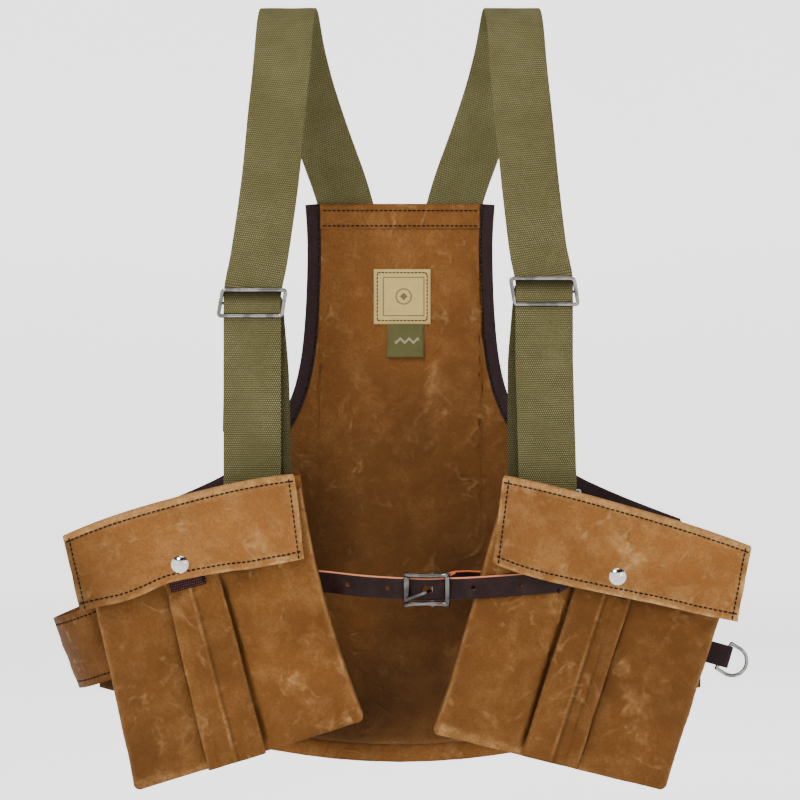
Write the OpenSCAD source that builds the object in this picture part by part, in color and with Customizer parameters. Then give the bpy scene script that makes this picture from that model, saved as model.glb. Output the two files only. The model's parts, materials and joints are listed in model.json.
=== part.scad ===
// Strap vest with two flapped pockets, a back panel and a rear pouch.
// Millimetres, +Z up, +X to the viewer's right, the front faces -Y.
// Origin: top of the shoulder arches, midway between the two straps.

/* [Straps] */
// width of the shoulder webbing
strap_width = 50; // [38:0.5:55]
// thickness of the shoulder webbing
strap_thickness = 2.2; // [1.5:0.1:2.4]
// height of the left slider bar below the shoulder
left_slider_drop = 265; // [240:1:290]
// height of the right slider bar below the shoulder
right_slider_drop = 255; // [240:1:290]

/* [Hardware] */
// radius of the slider wire
slider_wire = 1.5; // [1.2:0.1:1.6]
// diameter of the snap cap
snap_diameter = 15; // [12:0.5:18]
// inside width of the D-ring
d_ring_width = 22; // [21:0.5:24]
// height of the buckle frame window
buckle_window = 21; // [20.5:0.5:26]

/* [Pockets] */
// height of each pocket
pocket_height = 224; // [200:1:240]
// width of the left flap
left_flap_width = 204; // [204:1:220]
// width of the right flap
right_flap_width = 220; // [212:1:226]
// height of each flap
flap_height = 68; // [62:1:76]
// width of the pleat strip
pleat_width = 49; // [40:1:56]

/* [Canvas] */
// thickness of the canvas
canvas = 1.6; // [1.2:0.1:1.8]
// width of the armhole binding
binding_width = 12.8; // [10:0.2:16]
// depth of the rear pouch
pouch_depth = 34; // [20:1:40]

/* [Leather] */
// height of the leather straps
leather_width = 19; // [16:0.5:20]

/* [Hidden] */
$fn = 32;
panel_y = 60;
panel_back = panel_y + 1.8;
back_y = -60;
front_y = -82;
strip_y = front_y - 1.4;
hinge_y = -91;
roll_r = 1.6;
gap = 0.35;
run_y = -58.6;
strand_y = -52.6;
ring_y = -55.6;
ring_wire = 1.5;
slider_bar_y = -53.6;
ring_z = [-434, -428];
ring_x = 128;

canvas_color = [0.55, 0.37, 0.20];
flap_color = [0.66, 0.46, 0.28];
web_color = [0.48, 0.45, 0.29];
brown_color = [0.19, 0.13, 0.13];
leather_color = [0.15, 0.08, 0.07];
nickel_color = [0.75, 0.73, 0.70];

// ---- vector helpers ----
function unit(v) = v / norm(v);
function lerp(a, b, t) = a + (b - a) * t;

// smooth curve through the given points, n steps a span
function spline(p, n) = [
  for (i = [0 : len(p) - 2], k = [0 : n - 1])
    let (t = k / n, a = p[max(i - 1, 0)], b = p[i], c = p[i + 1], d = p[min(i + 2, len(p) - 1)])
      0.5 * (2 * b + (c - a) * t + (2 * a - 5 * b + 4 * c - d) * t * t + (3 * b - a - 3 * c + d) * t * t * t),
  p[len(p) - 1]];

// plane curve moved sideways by d, to the left of its direction
function beside(p, d) = [
  for (i = [0 : len(p) - 1])
    let (q = unit(p[min(i + 1, len(p) - 1)] - p[max(i - 1, 0)]))
      p[i] + d * [-q[1], q[0]]];

function mirrored(p) = [for (i = [len(p) - 1 : -1 : 0]) [-p[i][0], p[i][1]]];
function arc_yz(x, y, z, r, a0, a1, n) = [
  for (i = [0 : n])
    let (a = lerp(a0, a1, i / n))
      [x, y + r * cos(a), z + r * sin(a)]];

// flat band of width w and thickness t along a path, with its width kept near the given hints
module ribbon(path, hints, w, t) {
  n = len(path);
  rows = [
    for (i = [0 : n - 1])
      let (
        tan = unit(path[min(i + 1, n - 1)] - path[max(i - 1, 0)]),
        h = len(hints) == n ? hints[i] : hints[0],
        lat = unit(h - (h * tan) * tan),
        nor = cross(tan, lat))
        [path[i] - lat * w / 2 - nor * t / 2,
         path[i] + lat * w / 2 - nor * t / 2,
         path[i] + lat * w / 2 + nor * t / 2,
         path[i] - lat * w / 2 + nor * t / 2]];
  pts = [for (r = rows) for (q = r) q];
  sides = [
    for (i = [0 : n - 2], k = [0 : 3])
      let (a = 4 * i + k, b = 4 * i + (k + 1) % 4)
        each [[a, b, b + 4], [a, b + 4, a + 4]]];
  caps = [[2, 1, 0], [3, 2, 0], [4 * n - 4, 4 * n - 3, 4 * n - 2], [4 * n - 4, 4 * n - 2, 4 * n - 1]];
  polyhedron(points = pts, faces = concat([for (f = sides) [f[2], f[1], f[0]]],
    [for (f = caps) [f[2], f[1], f[0]]]), convexity = 6);
}

// sheet in the XZ plane between two depths
module sheet(outline, y0, y1)
  translate([0, y1, 0])
    rotate([90, 0, 0])
      linear_extrude(height = y1 - y0, convexity = 6)
        polygon(outline);

module rod_x(x0, x1, y, z, r)
  translate([x0, y, z])
    rotate([0, 90, 0])
      cylinder(r = r, h = x1 - x0);

module rod_z(x, y, z0, z1, r)
  translate([x, y, z0])
    cylinder(r = r, h = z1 - z0);

module rod(a, b, r) {
  d = b - a;
  translate(a)
    rotate([0, acos(d[2] / norm(d)), atan2(d[1], d[0])])
      cylinder(r = r, h = norm(d));
}

// ---- back panel ----
arm_right = spline([[87, -170], [85, -205], [86, -255], [89, -296], [93, -322], [99, -344], [110, -367],
  [124, -387], [141, -403], [162, -418], [196, -434], [231, -448], [266, -461]], 3);
arm_inner = beside(arm_right, -binding_width);
hem_curve = spline([[276, -612], [240, -622], [200, -633], [150, -646], [110, -655], [60, -662], [0, -665],
  [-60, -662], [-110, -655], [-150, -646], [-200, -633], [-240, -622], [-276, -612]], 2);
panel_outline = concat(arm_inner, [[268, -490], [275, -550]], hem_curve, [[-275, -550], [-268, -490]],
  mirrored(arm_inner));
pouch_curve = spline([[196, -640], [190, -648], [150, -664], [110, -672], [60, -679], [0, -682],
  [-60, -679], [-110, -672], [-150, -664], [-190, -648], [-196, -640]], 2);
pouch_outer = concat([[118, -408], [188, -455], [198, -480]], pouch_curve, [[-198, -480], [-188, -455],
  [-118, -408]]);
pouch_inner = concat([[115.5, -396], [115.5, -408.3], [186, -455.7], [198 - canvas, -481]],
  [for (q = pouch_curve) [q[0] * (1 - canvas / 198), q[1] + 1.8]],
  [[-198 + canvas, -481], [-186, -455.7], [-115.5, -408.3], [-115.5, -396]]);

module back_panel()
  color(canvas_color)
    sheet(panel_outline, panel_y, panel_back);

module top_facing()
  color(canvas_color)
    sheet([[-arm_inner[0][0], -170], [arm_inner[0][0], -170], [arm_inner[0][0] - 1.5, -192],
      [-arm_inner[0][0] + 1.5, -192]], panel_y - 1.4, panel_y);

module armhole_binding()
  color(brown_color)
    sheet(concat(arm_right, [for (i = [len(arm_inner) - 1 : -1 : 0]) arm_inner[i]]),
      panel_y - 1, panel_back + 1);

module right_armhole_binding() armhole_binding();
module left_armhole_binding() mirror([1, 0, 0]) armhole_binding();

module rear_pouch()
  color(canvas_color)
    difference() {
      sheet(pouch_outer, panel_y, panel_back + pouch_depth);
      sheet(pouch_inner, panel_y + canvas, panel_back + pouch_depth - canvas);
      sheet(panel_outline, panel_y - 5, panel_back);
    }

module label_patch()
  color([0.68, 0.62, 0.46])
    translate([-24, panel_y - 0.9, -279.5])
      cube([52, 0.9, 50.3]);

module side_tag()
  color([0.42, 0.40, 0.27])
    translate([-12, panel_y - 1.1, -310])
      cube([34, 1.1, 30.3]);

// ---- shoulder straps ----
function slider_x(s) = s < 0 ? ring_x : ring_x - 3;
function strap_path(s) =
  let (rz = ring_z[s < 0 ? 0 : 1], drop = s < 0 ? left_slider_drop : right_slider_drop)
    concat(
      arc_yz(s * ring_x, ring_y, rz, 3, 0, -180, 10),
      [[s * ring_x, run_y, rz + 8], [s * slider_x(s), run_y, -drop - 60], [s * slider_x(s), run_y, -drop + 13]],
      spline([[s * (slider_x(s) - 1.5), run_y + 0.1, -drop + 20], [s * (slider_x(s) - 5), run_y + 0.8, -drop + 34],
        [s * 113, run_y + 5, -160], [s * 108, run_y + 9, -105],
        [s * 103.5, -45, -60], [s * 101.5, -30, -22], [s * 100, -10, -3],
        [s * 98, 8, -3], [s * 95, 30, -22], [s * 89, 45, -52], [s * 74, 55, -100],
        [s * 55, 61.5, -152], [s * 51, 62.9 + 0.02, -166], [s * 46.5, 62.9 + 0.02, -182],
        [s * 40, 62.9 + 0.02, -206], [s * 33.5, 62.9 + 0.02, -230]], 3));

module left_strap()
  color(web_color)
    ribbon(strap_path(-1), [[1, 0, 0]], strap_width, strap_thickness);

module right_strap()
  color(web_color)
    ribbon(strap_path(1), [[1, 0, 0]], strap_width, strap_thickness);

// back strand, sewn back on itself round the slider's hidden bar
module strap_loop(s, drop)
  color(web_color)
    ribbon(concat(
      [[s * (ring_x - 10), strand_y, ring_z[s < 0 ? 0 : 1] + 0.3], [s * (slider_x(s) - 7), strand_y, -drop - 60],
       [s * (slider_x(s) - 3), slider_bar_y + 2.8, -drop - 14]],
      arc_yz(s * (slider_x(s) - 1), slider_bar_y, -drop + 2, 2.8, 0, 180, 10),
      [[s * slider_x(s), slider_bar_y - 2.8, -drop - 12], [s * slider_x(s), strand_y - 2.2, -drop - 40],
       [s * slider_x(s), strand_y - 2.2, -drop - 112]]),
      [[1, 0, 0]], strap_width - 1, 1.6);

module left_strap_loop() strap_loop(-1, left_slider_drop);
module right_strap_loop() strap_loop(1, right_slider_drop);

module slider(s, drop) {
  half = strap_width / 2 + gap + 0.6 + slider_wire;
  bar_y = run_y - strap_thickness / 2 - gap - slider_wire;
  color(nickel_color)
    translate([s * slider_x(s), 0, -drop]) {
      for (z = [-11.2, 11.2]) {
        rod_x(-half, half, bar_y, z, slider_wire);
        for (x = [-half, half])
          translate([x, bar_y, z])
            sphere(r = slider_wire);
      }
      for (x = [-half, half]) {
        rod_z(x, bar_y, -11.2, 11.2, slider_wire);
        rod([x, bar_y, 0], [x, slider_bar_y, 0], slider_wire);
        translate([x, slider_bar_y, 0])
          sphere(r = slider_wire);
      }
      rod_x(-half, half, slider_bar_y, 0, slider_wire);
    }
}

module left_slider() slider(-1, left_slider_drop);
module right_slider() slider(1, right_slider_drop);

module strap_ring(s) {
  half = strap_width / 2 + 2.5;
  color(nickel_color)
    translate([s * ring_x, ring_y, ring_z[s < 0 ? 0 : 1]]) {
      for (z = [-20, 0])
        rod_x(-half, half, 0, z, ring_wire);
      for (x = [-half, half]) {
        rod_z(x, 0, -20, 0, ring_wire);
        for (z = [-20, 0])
          translate([x, 0, z])
            sphere(r = ring_wire);
      }
    }
}

module left_strap_ring() strap_ring(-1);
module right_strap_ring() strap_ring(1);

module ring_tab(s) {
  z = ring_z[s < 0 ? 0 : 1] - 20;
  color(brown_color)
    ribbon(concat([[s * ring_x, back_y + 0.92, z - 52], [s * ring_x, back_y + 0.92, z - 20],
      [s * ring_x, ring_y - 2.75, z - 6]],
      arc_yz(s * ring_x, ring_y, z, 2.75, 180, 0, 10),
      [[s * ring_x, ring_y + 2.4, z - 7], [s * ring_x, back_y + 2.8, z - 20],
       [s * ring_x, back_y + 2.8, z - 52]]),
      [[1, 0, 0]], strap_width - 4, 1.8);
}

module left_ring_tab() ring_tab(-1);
module right_ring_tab() ring_tab(1);

// ---- pockets, drawn hanging straight with the fold line at the origin ----
function flap_w(s) = s < 0 ? left_flap_width : right_flap_width;
function half_w(s) = s < 0 ? 101 : 103;
function shift(s) = s < 0 ? 0 : -3;
function strip_u(s) = s < 0 ? -6 : -2;
function snap_u(s) = s < 0 ? -11.5 : 7;
function snap_v(s) = s < 0 ? -48 : -55;

module hung(s)
  translate([s < 0 ? -189 : 194, 0, s < 0 ? -440 : -445])
    rotate([0, s < 0 ? -15 : 16, 0])
      children();

module pocket_back(s)
  color(canvas_color)
    hung(s)
      translate([shift(s) - half_w(s), back_y - canvas, -pocket_height])
        cube([2 * half_w(s), canvas, pocket_height - 1]);

module pocket_front(s)
  color(canvas_color)
    hung(s)
      difference() {
        translate([shift(s) - half_w(s), front_y, -pocket_height])
          cube([2 * half_w(s), back_y - canvas - front_y, pocket_height - 12]);
        translate([shift(s) - half_w(s) + canvas, front_y + canvas, -pocket_height + canvas])
          cube([2 * half_w(s) - 2 * canvas, 40, pocket_height]);
      }

module pleat_strip(s)
  color(canvas_color)
    hung(s)
      translate([strip_u(s) - pleat_width / 2, strip_y, -pocket_height + 1])
        cube([pleat_width, 1.4, pocket_height - 16]);

// cloth that bridges from the pocket back to the fold of the flap
module flap_root(s)
  color(flap_color)
    hung(s)
      translate([shift(s) - half_w(s) + 1, hinge_y + roll_r + gap, -0.8 - 0.2])
        cube([2 * half_w(s) - 2, back_y - hinge_y - roll_r - gap, 1.6]);

module flap(s) {
  w = flap_w(s) / 2;
  h = flap_height;
  low = s < 0 ?
    [[0.91, -1.03], [0.66, -1.02], [0.43, -0.99], [0.04, -0.91], [-0.24, -0.89], [-0.46, -0.93],
     [-0.69, -0.97], [-1.02, -0.95]] :
    [[1.05, -0.94], [0.72, -0.99], [0.40, -1.01], [0.20, -1.03], [-0.25, -1.09], [-0.70, -1.10],
     [-0.90, -1.06]];
  color(flap_color)
    hung(s)
      difference() {
        union() {
          sheet(concat([[-w, 0], [w, 0]], [for (q = low) [q[0] * w, q[1] * h]]), hinge_y - roll_r, hinge_y);
          rod_x(-w, w, hinge_y, 0, roll_r);
        }
        translate([snap_u(s), hinge_y + 5, snap_v(s)])
          rotate([90, 0, 0])
            cylinder(r = 1.8, h = 20);
      }
}

module left_pocket_back() pocket_back(-1);
module right_pocket_back() pocket_back(1);
module left_pocket_front() pocket_front(-1);
module right_pocket_front() pocket_front(1);
module left_pleat_strip() pleat_strip(-1);
module right_pleat_strip() pleat_strip(1);
module left_flap_root() flap_root(-1);
module right_flap_root() flap_root(1);
module left_flap() flap(-1);
module right_flap() flap(1);

// ---- snaps ----
module at_snap(s)
  hung(s)
    translate([snap_u(s), 0, snap_v(s)])
      rotate([90, 0, 0])
        children();

module snap_cap(s)
  color(nickel_color)
    at_snap(s) {
      translate([0, 0, -hinge_y + roll_r])
        difference() {
          scale([1, 1, 1])
            intersection() {
              translate([0, 0, 3 - snap_diameter * 0.75])
                sphere(r = snap_diameter * 0.75, $fn = 48);
              cylinder(d = snap_diameter, h = 4, $fn = 48);
            }
        }
      translate([0, 0, -hinge_y - 1])
        cylinder(r = 1.6, h = roll_r + 1.4);
    }

module snap_socket(s)
  color(nickel_color)
    at_snap(s)
      translate([0, 0, -hinge_y - 2.8])
        difference() {
          cylinder(r = 5.5, h = 2.8);
          translate([0, 0, -1])
            cylinder(r = 2.9, h = 2.6);
          cylinder(r = 1.7, h = 4);
        }

module snap_stud(s)
  color(nickel_color)
    at_snap(s) {
      translate([0, 0, -strip_y + 1.5])
        cylinder(r = 5.2, h = 1);
      translate([0, 0, -strip_y + 2.4])
        cylinder(r = 1.9, h = 2.7);
      translate([0, 0, -strip_y + 4.2])
        rotate_extrude()
          translate([1.5, 0])
            circle(r = 0.7, $fn = 16);
    }

module snap_post(s)
  color(nickel_color)
    at_snap(s)
      translate([0, 0, -strip_y])
        cylinder(r = 2.4, h = 1.5);

module stud_tab(s)
  color(brown_color)
    hung(s)
      difference() {
        translate([(s < 0 ? -10 : 4) - 15.5, strip_y - 1.5, s < 0 ? -69.8 : -72.5])
          cube([31, 1.5, s < 0 ? 33.8 : 36.5]);
        translate([snap_u(s), strip_y + 5, snap_v(s)])
          rotate([90, 0, 0])
            cylinder(r = 2.4, h = 20);
      }

module left_snap_cap() snap_cap(-1);
module right_snap_cap() snap_cap(1);
module left_snap_socket() snap_socket(-1);
module right_snap_socket() snap_socket(1);
module left_snap_stud() snap_stud(-1);
module right_snap_stud() snap_stud(1);
module left_snap_post() snap_post(-1);
module right_snap_post() snap_post(1);
module left_stud_tab() stud_tab(-1);
module right_stud_tab() stud_tab(1);

// ---- side bands, folded round from the pocket to the back panel ----
module side_band(s) {
  reach = s < 0 ? 1 : 0.62;
  // the right band is sewn over the tab of the D-ring
  over = s < 0 ? 0 : 2.6;
  mid = spline([[-12, back_y + 1.1 + over], [8 * reach, back_y + 1.5 + over], [28 * reach, -54 + over],
    [48 * reach, -36], [61 * reach, 0], [48 * reach, 36], [28 * reach, 54], [8 * reach, panel_y - 1.5],
    [-12, panel_y - 1.1]], 4);
  a = beside(mid, canvas / 2);
  b = beside(mid, -canvas / 2);
  color(canvas_color)
    translate([s * 240, 0, -552])
      rotate([0, s * 21, 0])
        mirror([s < 0 ? 1 : 0, 0, 0])
          translate([0, 0, -33])
            linear_extrude(height = 66, convexity = 6)
              polygon(concat(a, [for (i = [len(b) - 1 : -1 : 0]) b[i]]));
}

module left_side_band() side_band(-1);
module right_side_band() side_band(1);

// ---- D-ring, leaning in the open loop of its tab ----
d_u = 121;
d_v = -97;
d_y = -57.1;
d_wire = 1.6;
// radius of the tab's middle line where it turns round the wire
d_loop = d_wire + 1.05;
d_lean = 16;

module d_ring_tab()
  color(brown_color)
    hung(1)
      translate([0, 0, d_v])
        ribbon(concat([[70, back_y + 0.62, 0], [104, back_y + 0.62, 0], [112, d_y - d_loop + 0.1, 0]],
          [for (i = [0 : 10])
            let (a = -90 + 18 * i)
              [d_u + d_loop * cos(a), d_y + d_loop * sin(a), 0]],
          [[112, d_y + d_loop - 0.1, 0], [104, back_y + 1.86, 0], [70, back_y + 1.86, 0]]),
          [[0, 0, 1]], 19, 1.2);

module d_ring() {
  half = d_ring_width / 2 + d_wire;
  arm = 8.5;
  color(nickel_color)
    hung(1)
      translate([d_u - 2.8, d_y, d_v])
        rotate([0, d_lean, 0]) {
          rod_z(0, 0, -half, half, d_wire);
          for (z = [-half, half]) {
            rod_x(0, arm, 0, z, d_wire);
            translate([0, 0, z])
              sphere(r = d_wire);
          }
          translate([arm, 0, 0])
            rotate([90, 0, 0])
              rotate([0, 0, -90])
                rotate_extrude(angle = 180)
                  translate([half, 0])
                    circle(r = d_wire, $fn = 20);
        }
}

// ---- leather chest strap and buckle ----
buckle_z = -511.4;
pin = [28, -76.3];
roll = [5.5, -82.3];
roller_r = 3;
lead_x = 40;
tongue_lean = 20;

function drop_z(x) = buckle_z + 5.5 * pow(abs(x - 22) / 94, 1.4);

function along(p, n) = [for (q = spline(p, n)) [q[0], q[1], drop_z(q[0])]];

module billet_strap()
  color(leather_color)
    difference() {
      ribbon(along([[-103.5, back_y + 1.3], [-80, back_y + 1.3], [-64, back_y + 1.1], [-54, -63], [-42, -70],
        [-28, -75.5],
        [-8, -77.6], [5, -77.9], [17, -79.6], [28, -80.3], [35, -79.9], [42, -79.2], [52, -81.4], [62, -83.2],
        [80, -83.3], [110, -83.3], [143, -83.3]], 2),
        [[0, 0, 1]], leather_width, 2);
      for (x = [-45, -11, 63, 103])
        translate([x, -50, drop_z(x)])
          rotate([90, 0, 0])
            cylinder(r = 2.2, h = 50);
      translate([25.2, -50, drop_z(25.2)])
        rotate([90, 0, 0])
          cylinder(r = 3.3, h = 50);
    }

module buckle_strap()
  color(leather_color)
    difference() {
      ribbon(concat(
        [[84, back_y + 1.02, buckle_z + 5], [66, back_y + 1.3, buckle_z + 5.4], [58, -61.5, buckle_z + 6],
         [48, -66.5, buckle_z + 6], [38, -71.2, buckle_z + 3.2]],
        [for (i = [0 : 12])
          let (a = 70 + 200 * i / 12)
            [pin[0] + 2.25 * cos(a), pin[1] + 2.25 * sin(a), buckle_z + 0.5]],
        [[33, -77.0, buckle_z + 0.5], [39, -74.6, buckle_z + 1.2], [50, -68.3, buckle_z + 5.6]]),
        [[0, 0, 1]], leather_width - 1, 1.2);
      translate([pin[0] - 6, pin[1] - 6, buckle_z - 4])
        cube([10.5, 12, 8]);
    }

module buckle_frame() {
  h = buckle_window / 2;
  color(nickel_color)
    translate([0, 0, buckle_z]) {
      for (k = [-1, 1]) {
        translate([roll[0], -84, k * (h + 2.2) - 2.2])
          cube([lead_x - roll[0], 9.4, 4.4]);
        rod_z(roll[0], roll[1], k * (h + 2.2) - 2.2, k * (h + 2.2) + 2.2, 3.4);
        rod_z(lead_x, roll[1] - 0.6, k * (h + 2.2) - 2.2, k * (h + 2.2) + 2.2, 3.2);
      }
      rod_z(roll[0], roll[1], -h - 1, h + 1, roller_r - 0.9);
      rod_z(pin[0], pin[1], -h - 1, h + 1, 1.4);
      rod_z(lead_x, roll[1] - 1.1, -h - 1, h + 1, 2.6);
    }
}

module buckle_roller()
  color(nickel_color)
    translate([roll[0], roll[1], buckle_z - buckle_window / 2 + 0.6])
      difference() {
        cylinder(r = roller_r, h = buckle_window - 1.2);
        translate([0, 0, -1])
          cylinder(r = roller_r - 0.5, h = buckle_window + 2);
      }

// the tongue hangs a little askew on its pin and rests on the roller
module buckle_tongue() {
  path = spline([[26.6, -77.8], [24.0, -81.8], [20, -85.6], [13, -87.1], [2.5, -86.8]], 3);
  side = beside(path, 1.1);
  other = beside(path, -1.1);
  color(nickel_color)
    translate([pin[0], pin[1], buckle_z])
      difference() {
        union() {
          translate([0, 0, -1.1])
            cylinder(r = 2.8, h = 2.2);
          rotate([0, -tongue_lean, 0])
            translate([-pin[0], -pin[1], -1.1])
              linear_extrude(height = 2.2)
                polygon(concat(side, [for (i = [len(other) - 1 : -1 : 0]) other[i]]));
        }
        translate([0, 0, -4])
          cylinder(r = 1.75, h = 8);
      }
}

back_panel();
top_facing();
left_armhole_binding();
right_armhole_binding();
rear_pouch();
label_patch();
side_tag();
left_strap();
right_strap();
left_strap_loop();
right_strap_loop();
left_slider();
right_slider();
left_strap_ring();
right_strap_ring();
left_ring_tab();
right_ring_tab();
left_pocket_back();
right_pocket_back();
left_pocket_front();
right_pocket_front();
left_pleat_strip();
right_pleat_strip();
left_flap_root();
right_flap_root();
left_flap();
right_flap();
left_snap_cap();
right_snap_cap();
left_snap_socket();
right_snap_socket();
left_snap_stud();
right_snap_stud();
left_snap_post();
right_snap_post();
left_stud_tab();
right_stud_tab();
left_side_band();
right_side_band();
d_ring();
d_ring_tab();
buckle_frame();
buckle_roller();
buckle_tongue();
buckle_strap();
billet_strap();
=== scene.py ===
import sys
import json
import math
import bpy
import bmesh
import numpy as np
from mathutils import Vector, Matrix, noise
from mathutils.bvhtree import BVHTree


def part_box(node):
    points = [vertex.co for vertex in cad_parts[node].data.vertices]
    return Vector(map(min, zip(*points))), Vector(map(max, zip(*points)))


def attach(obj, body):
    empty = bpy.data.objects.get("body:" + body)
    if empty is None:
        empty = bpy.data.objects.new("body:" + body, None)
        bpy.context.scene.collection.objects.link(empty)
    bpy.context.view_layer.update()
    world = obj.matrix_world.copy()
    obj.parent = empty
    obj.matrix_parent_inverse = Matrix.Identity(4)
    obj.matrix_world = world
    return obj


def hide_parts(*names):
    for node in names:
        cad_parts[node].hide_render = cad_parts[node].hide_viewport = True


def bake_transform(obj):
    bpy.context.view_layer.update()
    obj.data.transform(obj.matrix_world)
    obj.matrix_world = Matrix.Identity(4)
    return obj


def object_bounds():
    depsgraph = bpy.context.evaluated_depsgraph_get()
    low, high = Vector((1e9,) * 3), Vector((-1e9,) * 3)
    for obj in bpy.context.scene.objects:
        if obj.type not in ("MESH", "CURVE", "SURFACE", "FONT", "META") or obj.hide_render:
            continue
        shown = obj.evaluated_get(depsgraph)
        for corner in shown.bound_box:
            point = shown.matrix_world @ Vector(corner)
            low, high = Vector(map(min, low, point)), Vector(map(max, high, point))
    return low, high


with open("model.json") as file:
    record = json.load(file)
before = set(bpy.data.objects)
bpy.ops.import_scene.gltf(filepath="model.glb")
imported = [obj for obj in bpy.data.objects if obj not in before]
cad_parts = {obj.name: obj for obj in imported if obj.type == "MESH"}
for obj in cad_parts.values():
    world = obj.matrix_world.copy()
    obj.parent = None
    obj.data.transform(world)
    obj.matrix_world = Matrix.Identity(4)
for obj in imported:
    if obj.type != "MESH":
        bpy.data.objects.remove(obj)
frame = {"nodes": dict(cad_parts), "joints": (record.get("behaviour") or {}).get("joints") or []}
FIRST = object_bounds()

MM = 0.001
J = {j["name"]: j for j in frame["joints"]}
_tris = {}


# ---------------------------------------------------------------- reading the frame
def tris(name):
    if name not in _tris:
        me = frame["nodes"][name].data
        me.calc_loop_triangles()
        co = np.array([v.co for v in me.vertices], float)
        _tris[name] = co[np.array([t.vertices for t in me.loop_triangles])]
    return _tris[name]


def cut(t, axis, value, keep=None):
    """Points where triangles cross a plane across one axis."""
    value = value + 1.3e-7
    out = []
    for i in range(3):
        p, q = t[:, i], t[:, (i + 1) % 3]
        dp, dq = p[:, axis] - value, q[:, axis] - value
        m = dp * dq < 0
        f = (dp[m] / (dp[m] - dq[m]))[:, None]
        out.append(p[m] + (q[m] - p[m]) * f)
    pts = np.concatenate(out)
    if keep is not None:
        pts = pts[keep(pts)]
    return pts


def unit(v):
    return v / np.maximum(np.linalg.norm(v, axis=-1, keepdims=True), 1e-12)


def resample(path, step):
    path = np.asarray(path, float)
    s = np.concatenate([[0], np.cumsum(np.linalg.norm(np.diff(path, axis=0), axis=1))])
    n = max(2, int(round(s[-1] / step)) + 1)
    t = np.linspace(0, s[-1], n)
    return np.stack([np.interp(t, s, path[:, k]) for k in range(path.shape[1])], 1)


def relax(path, times):
    path = np.array(path, float)
    for _ in range(times):
        path[1:-1] = 0.25 * path[:-2] + 0.5 * path[1:-1] + 0.25 * path[2:]
    return path


def spline(p, n):
    p = [np.array(q, float) for q in p]
    out = []
    for i in range(len(p) - 1):
        a, b, c, d = p[max(i - 1, 0)], p[i], p[i + 1], p[min(i + 2, len(p) - 1)]
        for k in range(n):
            t = k / n
            out.append(0.5 * (2 * b + (c - a) * t + (2 * a - 5 * b + 4 * c - d) * t * t
                              + (3 * b - a - 3 * c + d) * t ** 3))
    out.append(p[-1])
    return np.array(out)


def wob(p, scale, seed=0.0, octaves=3):
    q = Vector((p[0] * scale + seed, p[1] * scale + 1.7 * seed, p[2] * scale - seed))
    return noise.fractal(q, 0.9, 2.1, octaves)


def ridge(p, scale, seed=0.0, sharp=7.0):
    q = Vector((p[0] * scale + seed, p[1] * scale - seed, p[2] * scale + 2.3 * seed))
    n = noise.noise(q) + 0.4 * noise.noise(q * 2.3)
    return max(0.0, 1.0 - abs(n) * sharp)


# ---------------------------------------------------------------- meshes
def mesh_object(name, verts, faces, material, uvs=None, smooth=True):
    me = bpy.data.meshes.new(name)
    me.from_pydata([tuple(map(float, v)) for v in verts], [], [tuple(int(i) for i in f) for f in faces])
    if uvs is not None:
        layer = me.uv_layers.new(name="UVMap")
        idx = np.zeros(len(me.loops), np.int32)
        me.loops.foreach_get("vertex_index", idx)
        layer.data.foreach_set("uv", np.asarray(uvs, np.float32)[idx].ravel())
    me.polygons.foreach_set("use_smooth", [smooth] * len(me.polygons))
    me.update()
    ob = bpy.data.objects.new(name, me)
    bpy.context.scene.collection.objects.link(ob)
    me.materials.append(material)
    return ob


def bake(ob):
    dg = bpy.context.evaluated_depsgraph_get()
    dg.update()
    me = bpy.data.meshes.new_from_object(ob.evaluated_get(dg), preserve_all_data_layers=True, depsgraph=dg)
    ob.modifiers.clear()
    old = ob.data
    ob.data = me
    bpy.data.meshes.remove(old)
    return ob


def thicken(ob, thick, side=0.0, even=True):
    m = ob.modifiers.new("thick", "SOLIDIFY")
    m.thickness = thick
    m.offset = side
    m.use_even_offset = even
    return bake(ob)


def paint(ob, name, values):
    at = ob.data.attributes.new(name, "FLOAT", "POINT")
    at.data.foreach_set("value", np.asarray(values, np.float32).ravel())


def grid(name, P, material, thick=0.0, side=0.0, flip=False, wear=None, soil=None, even=True):
    P = np.asarray(P, float)
    nr, nc = P.shape[:2]
    u = np.concatenate([np.zeros((nr, 1)), np.cumsum(np.linalg.norm(np.diff(P, axis=1), axis=2), 1)], 1)
    v = np.concatenate([np.zeros((1, nc)), np.cumsum(np.linalg.norm(np.diff(P, axis=0), axis=2), 0)], 0)
    u = u - u[:, nc // 2:nc // 2 + 1]
    f = []
    for r in range(nr - 1):
        for c in range(nc - 1):
            a = r * nc + c
            q = [a, a + 1, a + nc + 1, a + nc]
            f.append(q[::-1] if flip else q)
    ob = mesh_object(name, P.reshape(-1, 3), f, material, np.stack([u, v], 2).reshape(-1, 2))
    if wear is not None:
        paint(ob, "wear", wear)
    if soil is not None:
        paint(ob, "soil", soil)
    if thick:
        thicken(ob, thick, side, even)
    return ob


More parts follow.
